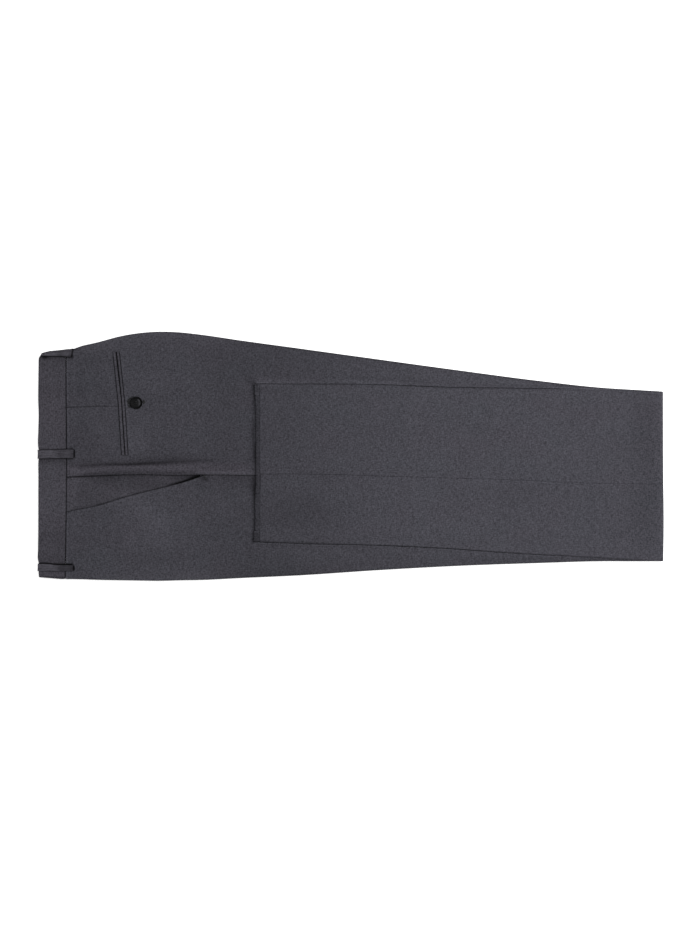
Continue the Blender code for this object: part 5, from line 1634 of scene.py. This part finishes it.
def button():
    """A rimmed four-hole button: a turned profile, with the holes left open in its dished middle."""
    x0, y0 = BUTTON_AT
    radius = BUTTON_DIAMETER / 2
    base = float(straight(STACK, x0 - radius, 2)) + GAP
    hole_r, hole_at, middle_r = 0.8, 1.7, 3.9
    steps = 96
    outline = [
        (middle_r, 0.25),
        (radius - 2.4, 0.10),
        (radius - 1.6, 0.05),
        (radius - 0.9, 0.28),
        (radius - 0.4, 0.60),
        (radius - 0.1, 1.00),
        (radius, 1.35),
        (radius - 0.04, 1.75),
        (radius - 0.20, 2.10),
        (radius - 0.50, 2.38),
        (radius - 0.90, BUTTON_THICK),
        (radius - 1.30, 2.46),
        (radius - 1.70, 2.28),
        (radius - 2.10, 1.98),
        (radius - 2.55, 1.74),
        (radius - 3.00, 1.64),
        (middle_r, 1.60),
    ]
    points, faces = [], []
    angle = np.arange(steps) * 2 * math.pi / steps
    for r, z in outline:
        points += [(x0 + r * math.cos(a), y0 + r * math.sin(a), base + z) for a in angle]
    n = len(outline)
    for i in range(n - 1):
        for k in range(steps):
            m = (k + 1) % steps
            faces.append([i * steps + k, i * steps + m, (i + 1) * steps + m, (i + 1) * steps + k])
    # the middle plate, upper and lower, with four round holes
    per = 24
    for level, outer_ring in (("upper", n - 1), ("lower", 0)):
        z = 1.60 if level == "upper" else 0.25
        for quarter in range(4):
            centre_angle = math.radians(45 + 90 * quarter)
            hx, hy = hole_at * math.cos(centre_angle), hole_at * math.sin(centre_angle)
            first = len(points)
            for k in range(per):
                a = 2 * math.pi * k / per + centre_angle
                points.append((x0 + hx + hole_r * math.cos(a), y0 + hy + hole_r * math.sin(a), base + z))
    upper0 = n * steps
    lower0 = upper0 + 4 * per
    centre = {"upper": len(points), "lower": len(points) + 1}
    points += [(x0, y0, base + 1.60), (x0, y0, base + 0.25)]
    for level, outer_ring, start in (("upper", n - 1, upper0), ("lower", 0, lower0)):
        for quarter in range(4):
            hole = [start + quarter * per + k for k in range(per)]
            # rim points of this quarter, from -45 to +45 degrees about the hole
            rim = [outer_ring * steps + (k + quarter * steps // 4) % steps for k in range(steps // 4 + 1)]
            # radial lines from the middle to the rim at both ends of the quarter split the plate; hole points k = per/2 face the middle
            half = per // 2
            # outer side of the hole: points from -half..half about direction 0
            side_a = [hole[(k + per) % per] for k in range(-half, half + 1)]
            fan = strip(rim, side_a, list(np.linspace(0, 1, len(rim))), list(np.linspace(0, 1, len(side_a))))
            tail = [[side_a[0], centre[level], rim[0]], [rim[-1], centre[level], side_a[-1]]]
            made = fan + [[rim[0], centre[level], side_a[0]], [rim[-1], side_a[-1], centre[level]]]
            if level == "upper":
                made = [f[::-1] for f in made]
            faces += made
    for quarter in range(4):
        for k in range(per):
            m = (k + 1) % per
            u, v = upper0 + quarter * per, lower0 + quarter * per
            faces.append([u + k, v + k, v + m, u + m])
    points = np.array(points)
    points[:, 0] += ORIGIN
    uv = points[:, :2].copy()
    # a painted highlight lies in the dish inside the rim on the side towards the knee, and painted shade darkens the
    # rim's outer edge there
    from_middle = np.hypot(uv[:, 0] - ORIGIN - x0, uv[:, 1] - y0)
    bearing = np.arctan2(uv[:, 1] - y0, uv[:, 0] - ORIGIN - x0)
    top = points[:, 2] > base + 1.2
    streak_and_painted_light = 0.34 + 4.6 * np.exp(-(((from_middle - 4.6) / 0.75) ** 2) - ((bearing - 0.1) / 0.95) ** 4) * top
    streak_and_painted_light = streak_and_painted_light * (1 - 0.9 * smooth(5.0, 5.8, from_middle) * np.exp(-((bearing / 1.3) ** 4)))
    ob = build("left_pocket_button_horn", points * MM, faces, uv, streak_and_painted_light, MATERIALS["horn"], sharp=38.0)
    import bmesh

    bm = bmesh.new()
    bm.from_mesh(ob.data)
    bmesh.ops.recalc_face_normals(bm, faces=bm.faces)
    bm.to_mesh(ob.data)
    bm.free()
    keep_piece(ob, "button", "left_pocket_button")

    # thread through the holes: two strands over each pair, and the shank below
    lines = []
    d = hole_at * math.sin(math.radians(45))
    for sign in (-1, 1):
        for shift in (-0.24, 0.24):
            line = [(x0 - d, y0 + sign * d + shift, base + 0.2), (x0 - d, y0 + sign * d + shift, base + 1.5)]
            for t in np.linspace(0.0, 1.0, 9):
                line.append((x0 - d + 2 * d * t, y0 + sign * d + shift * (1 + 0.4 * math.sin(math.pi * t)), base + 1.72 + 0.26 * math.sin(math.pi * t)))
            line += [(x0 + d, y0 + sign * d + shift, base + 1.5), (x0 + d, y0 + sign * d + shift, base + 0.2)]
            lines.append(line)
    tubes("left_pocket_button_thread", lines, 0.23, MATERIALS["dark_thread"], "button")
    return ob


def buttonhole():
    """The worked hole under the button: close stitches round a slit that runs along the leg."""
    x0, x1, y = 109.0, 125.7, 65.4
    half = 1.05
    lines = []
    count = 54
    for sign in (-1, 1):
        for k in range(count):
            x = x0 + (x1 - x0) * (k + 0.5) / count
            wide = half + 0.06 * math.sin(k * 2.3)
            line = []
            for t in np.linspace(0.0, 1.0, 6):
                off = 0.16 + wide * t
                z = float(top_of_left(x, y + sign * off)) + 0.02 + 0.30 * math.sin(math.pi * min(1.0, 0.12 + 0.88 * t)) ** 0.7
                line.append((x + 0.05 * math.sin(k), y + sign * off, z))
            lines.append(line)
    for end, x in ((-1, x0), (1, x1)):  # fans of stitches at both ends
        wide = 2.6 if end < 0 else 2.4  # the end towards the waistband is a round eyelet
        for k in range(19):
            a = math.radians(-90 + 10 * k)
            line = []
            for t in np.linspace(0.0, 1.0, 5):
                r = 0.9 * (end < 0) + 0.16 + (wide - 0.9 * (end < 0)) * t
                px, py = x + end * r * math.cos(a), y + r * math.sin(a)
                line.append((px, py, float(top_of_left(px, py)) + 0.02 + 0.28 * math.sin(math.pi * min(1.0, 0.12 + 0.88 * t)) ** 0.7))
            lines.append(line)
    for k, off in enumerate((-6.0, -4.3, -1.9, 0.6, 3.0, 4.7)):  # long strands that hold the eyelet's end
        line = []
        for t in np.linspace(0.0, 1.0, 7):
            px, py = x0 - 2.3 + 3.8 * t + 0.3 * (k % 2) + (1.5 if k in (0, 5) else 0.0), y + off - 0.4
            line.append((px, py, float(top_of_left(px, py)) + 0.05 + 0.34 * math.sin(math.pi * (0.1 + 0.8 * t))))
        for shift in (-0.66, -0.22, 0.22, 0.66):
            lines.append([(px, py + shift, z) for px, py, z in line])
    return tubes("left_pocket_buttonhole", lines, 0.16, MATERIALS["dark_thread"], "button", sides=6)


def tack(name, x, y, length, width, turn, count, height, material="thread"):
    """A bar tack: close stitches over two long ones."""
    c, s = math.cos(math.radians(turn)), math.sin(math.radians(turn))
    lines = []
    for k in range(count):
        a = -length / 2 + length * (k + 0.5) / count
        line = []
        for t in np.linspace(-1.0, 1.0, 7):
            b = width / 2 * t
            px, py = x + a * c - b * s, y + a * s + b * c
            line.append((px, py, float(height(px, py)) + 0.02 + 0.26 * math.sqrt(max(0.0, 1 - t * t))))
        lines.append(line)
    return tubes(name, lines, length / count * 0.42, MATERIALS[material], "suiting", sides=6)


# ---------------------------------------------------------------- build
MATERIALS["loop"] = cloth("suiting_loop", (0.0560, 0.0540, 0.0641), warp_along=False, warp=1.3, weft=0.6, warm=0.2, run=3.0)
SHEETS = []
for side in ("left", "right"):
    for which in ("front", "back"):
        SHEETS.append(panel(side, which))
    SHEETS.append(facing(side))
    SHEETS.append(waistband(side))
    for name, first, last in LOOPS:
        SHEETS.append(belt_loop(side, name, first, last))
    SHEETS.append(welt(side, "upper", -WELT_SLOT / 2 - WELT_MORE + GAP, -0.2))
    SHEETS.append(welt(side, "lower", 0.2, WELT_SLOT / 2 - GAP))
SHEETS.append(hidden_layers())
button()
buttonhole()
tack("left_pocket_tack", 199.6, -25.2, 5.2, 1.7, -52.0, 13, top_of_left)

RESTS = {
    "left_front": ["inner_layers_cloth", "right_front_cloth"],
    "left_back": ["inner_layers_cloth", "right_back_cloth"],
    "left_waistband": ["right_waistband_cloth"],
    "inner_layers": ["right_front_cloth", "right_back_cloth"],
}
for ob, (width, length), area in SHEETS:
    node = ob.name[: -len("_cloth")]
    rests = RESTS.get(node, [])
    if not rests and node.startswith("left_"):
        rests = ["left_waistband_cloth"] if "loop" in node else ["inner_layers_cloth"]
    print(f"CUT {ob.name}: {width:.1f} x {length:.1f} mm, {area / 100:.1f} cm2")


# ---------------------------------------------------------------- floor, light and camera
def floor():
    bpy.ops.mesh.primitive_plane_add(size=60.0, location=(0.0, 0.0, -0.0002))
    plane = bpy.context.object
    plane.name = "floor"
    m = Nodes("floor_white")
    where = m.node("ShaderNodeTexCoord").outputs["Object"]
    grain = m.noise(where, 2.0, 2.0)
    mix = m.node("ShaderNodeMix", data_type="RGBA")
    m.put(mix.inputs[0], grain)
    mix.inputs[6].default_value = (0.93, 0.93, 0.93, 1)
    mix.inputs[7].default_value = (0.96, 0.96, 0.96, 1)
    m.put(m.shader.inputs["Base Color"], mix.outputs[2])
    m.shader.inputs["Roughness"].default_value = 0.9
    m.shader.inputs["Specular IOR Level"].default_value = 0.1
    m.shader.inputs["Emission Color"].default_value = (1.0, 1.0, 1.0, 1.0)
    m.shader.inputs["Emission Strength"].default_value = 0.62
    plane.data.materials.append(m.material)


def light_and_camera():
    scene = bpy.context.scene
    world = bpy.data.worlds.new("studio")
    world.use_nodes = True
    back = world.node_tree.nodes["Background"]
    back.inputs["Color"].default_value = (1.0, 1.0, 1.0, 1.0)
    back.inputs["Strength"].default_value = 0.25
    scene.world = world

    def sun(name, turn, angle, strength):
        data = bpy.data.lights.new(name, "SUN")
        data.energy, data.angle = strength, math.radians(angle)
        ob = bpy.data.objects.new(name, data)
        ob.rotation_euler = [math.radians(a) for a in turn]
        scene.collection.objects.link(ob)

    def towards(place, target=(0.0, 0.0, 0.0)):
        return (Vector(place) - Vector(target)).to_track_quat("Z", "Y").to_euler()

    sun("soft_top", [math.degrees(a) for a in towards((0.22, 0.28, 1.0))], 44.0, 1.60)
    data = bpy.data.lights.new("soft_right", "AREA")
    data.shape, data.size, data.energy = "DISK", 0.9, 7.6
    ob = bpy.data.objects.new("soft_right", data)
    ob.location = (0.85, 0.12, 0.90)
    ob.rotation_euler = towards((0.85, 0.12, 0.90), (0.30, 0.0, 0.0))
    ob.visible_camera = False
    scene.collection.objects.link(ob)

    camera_data = bpy.data.cameras.new("camera")
    camera = bpy.data.objects.new("camera", camera_data)
    scene.collection.objects.link(camera)
    pixel = 1.2 * MM  # on the garment
    distance = 6.0
    camera_data.type = "PERSP"
    camera_data.sensor_fit, camera_data.sensor_width = "AUTO", 36.0
    camera_data.lens = 36.0 * (distance - 0.008) / (933 * pixel)
    camera_data.clip_start, camera_data.clip_end = 0.1, 100.0
    camera.location = (-0.33 * MM, -12.24 * MM, distance)
    camera.rotation_euler = (0.0, 0.0, 0.0)
    scene.camera = camera
    scene.view_settings.view_transform = "Standard"
    scene.view_settings.look = "None"
    scene.view_settings.exposure = 0.0
    scene.view_settings.gamma = 1.0


floor()
light_and_camera()
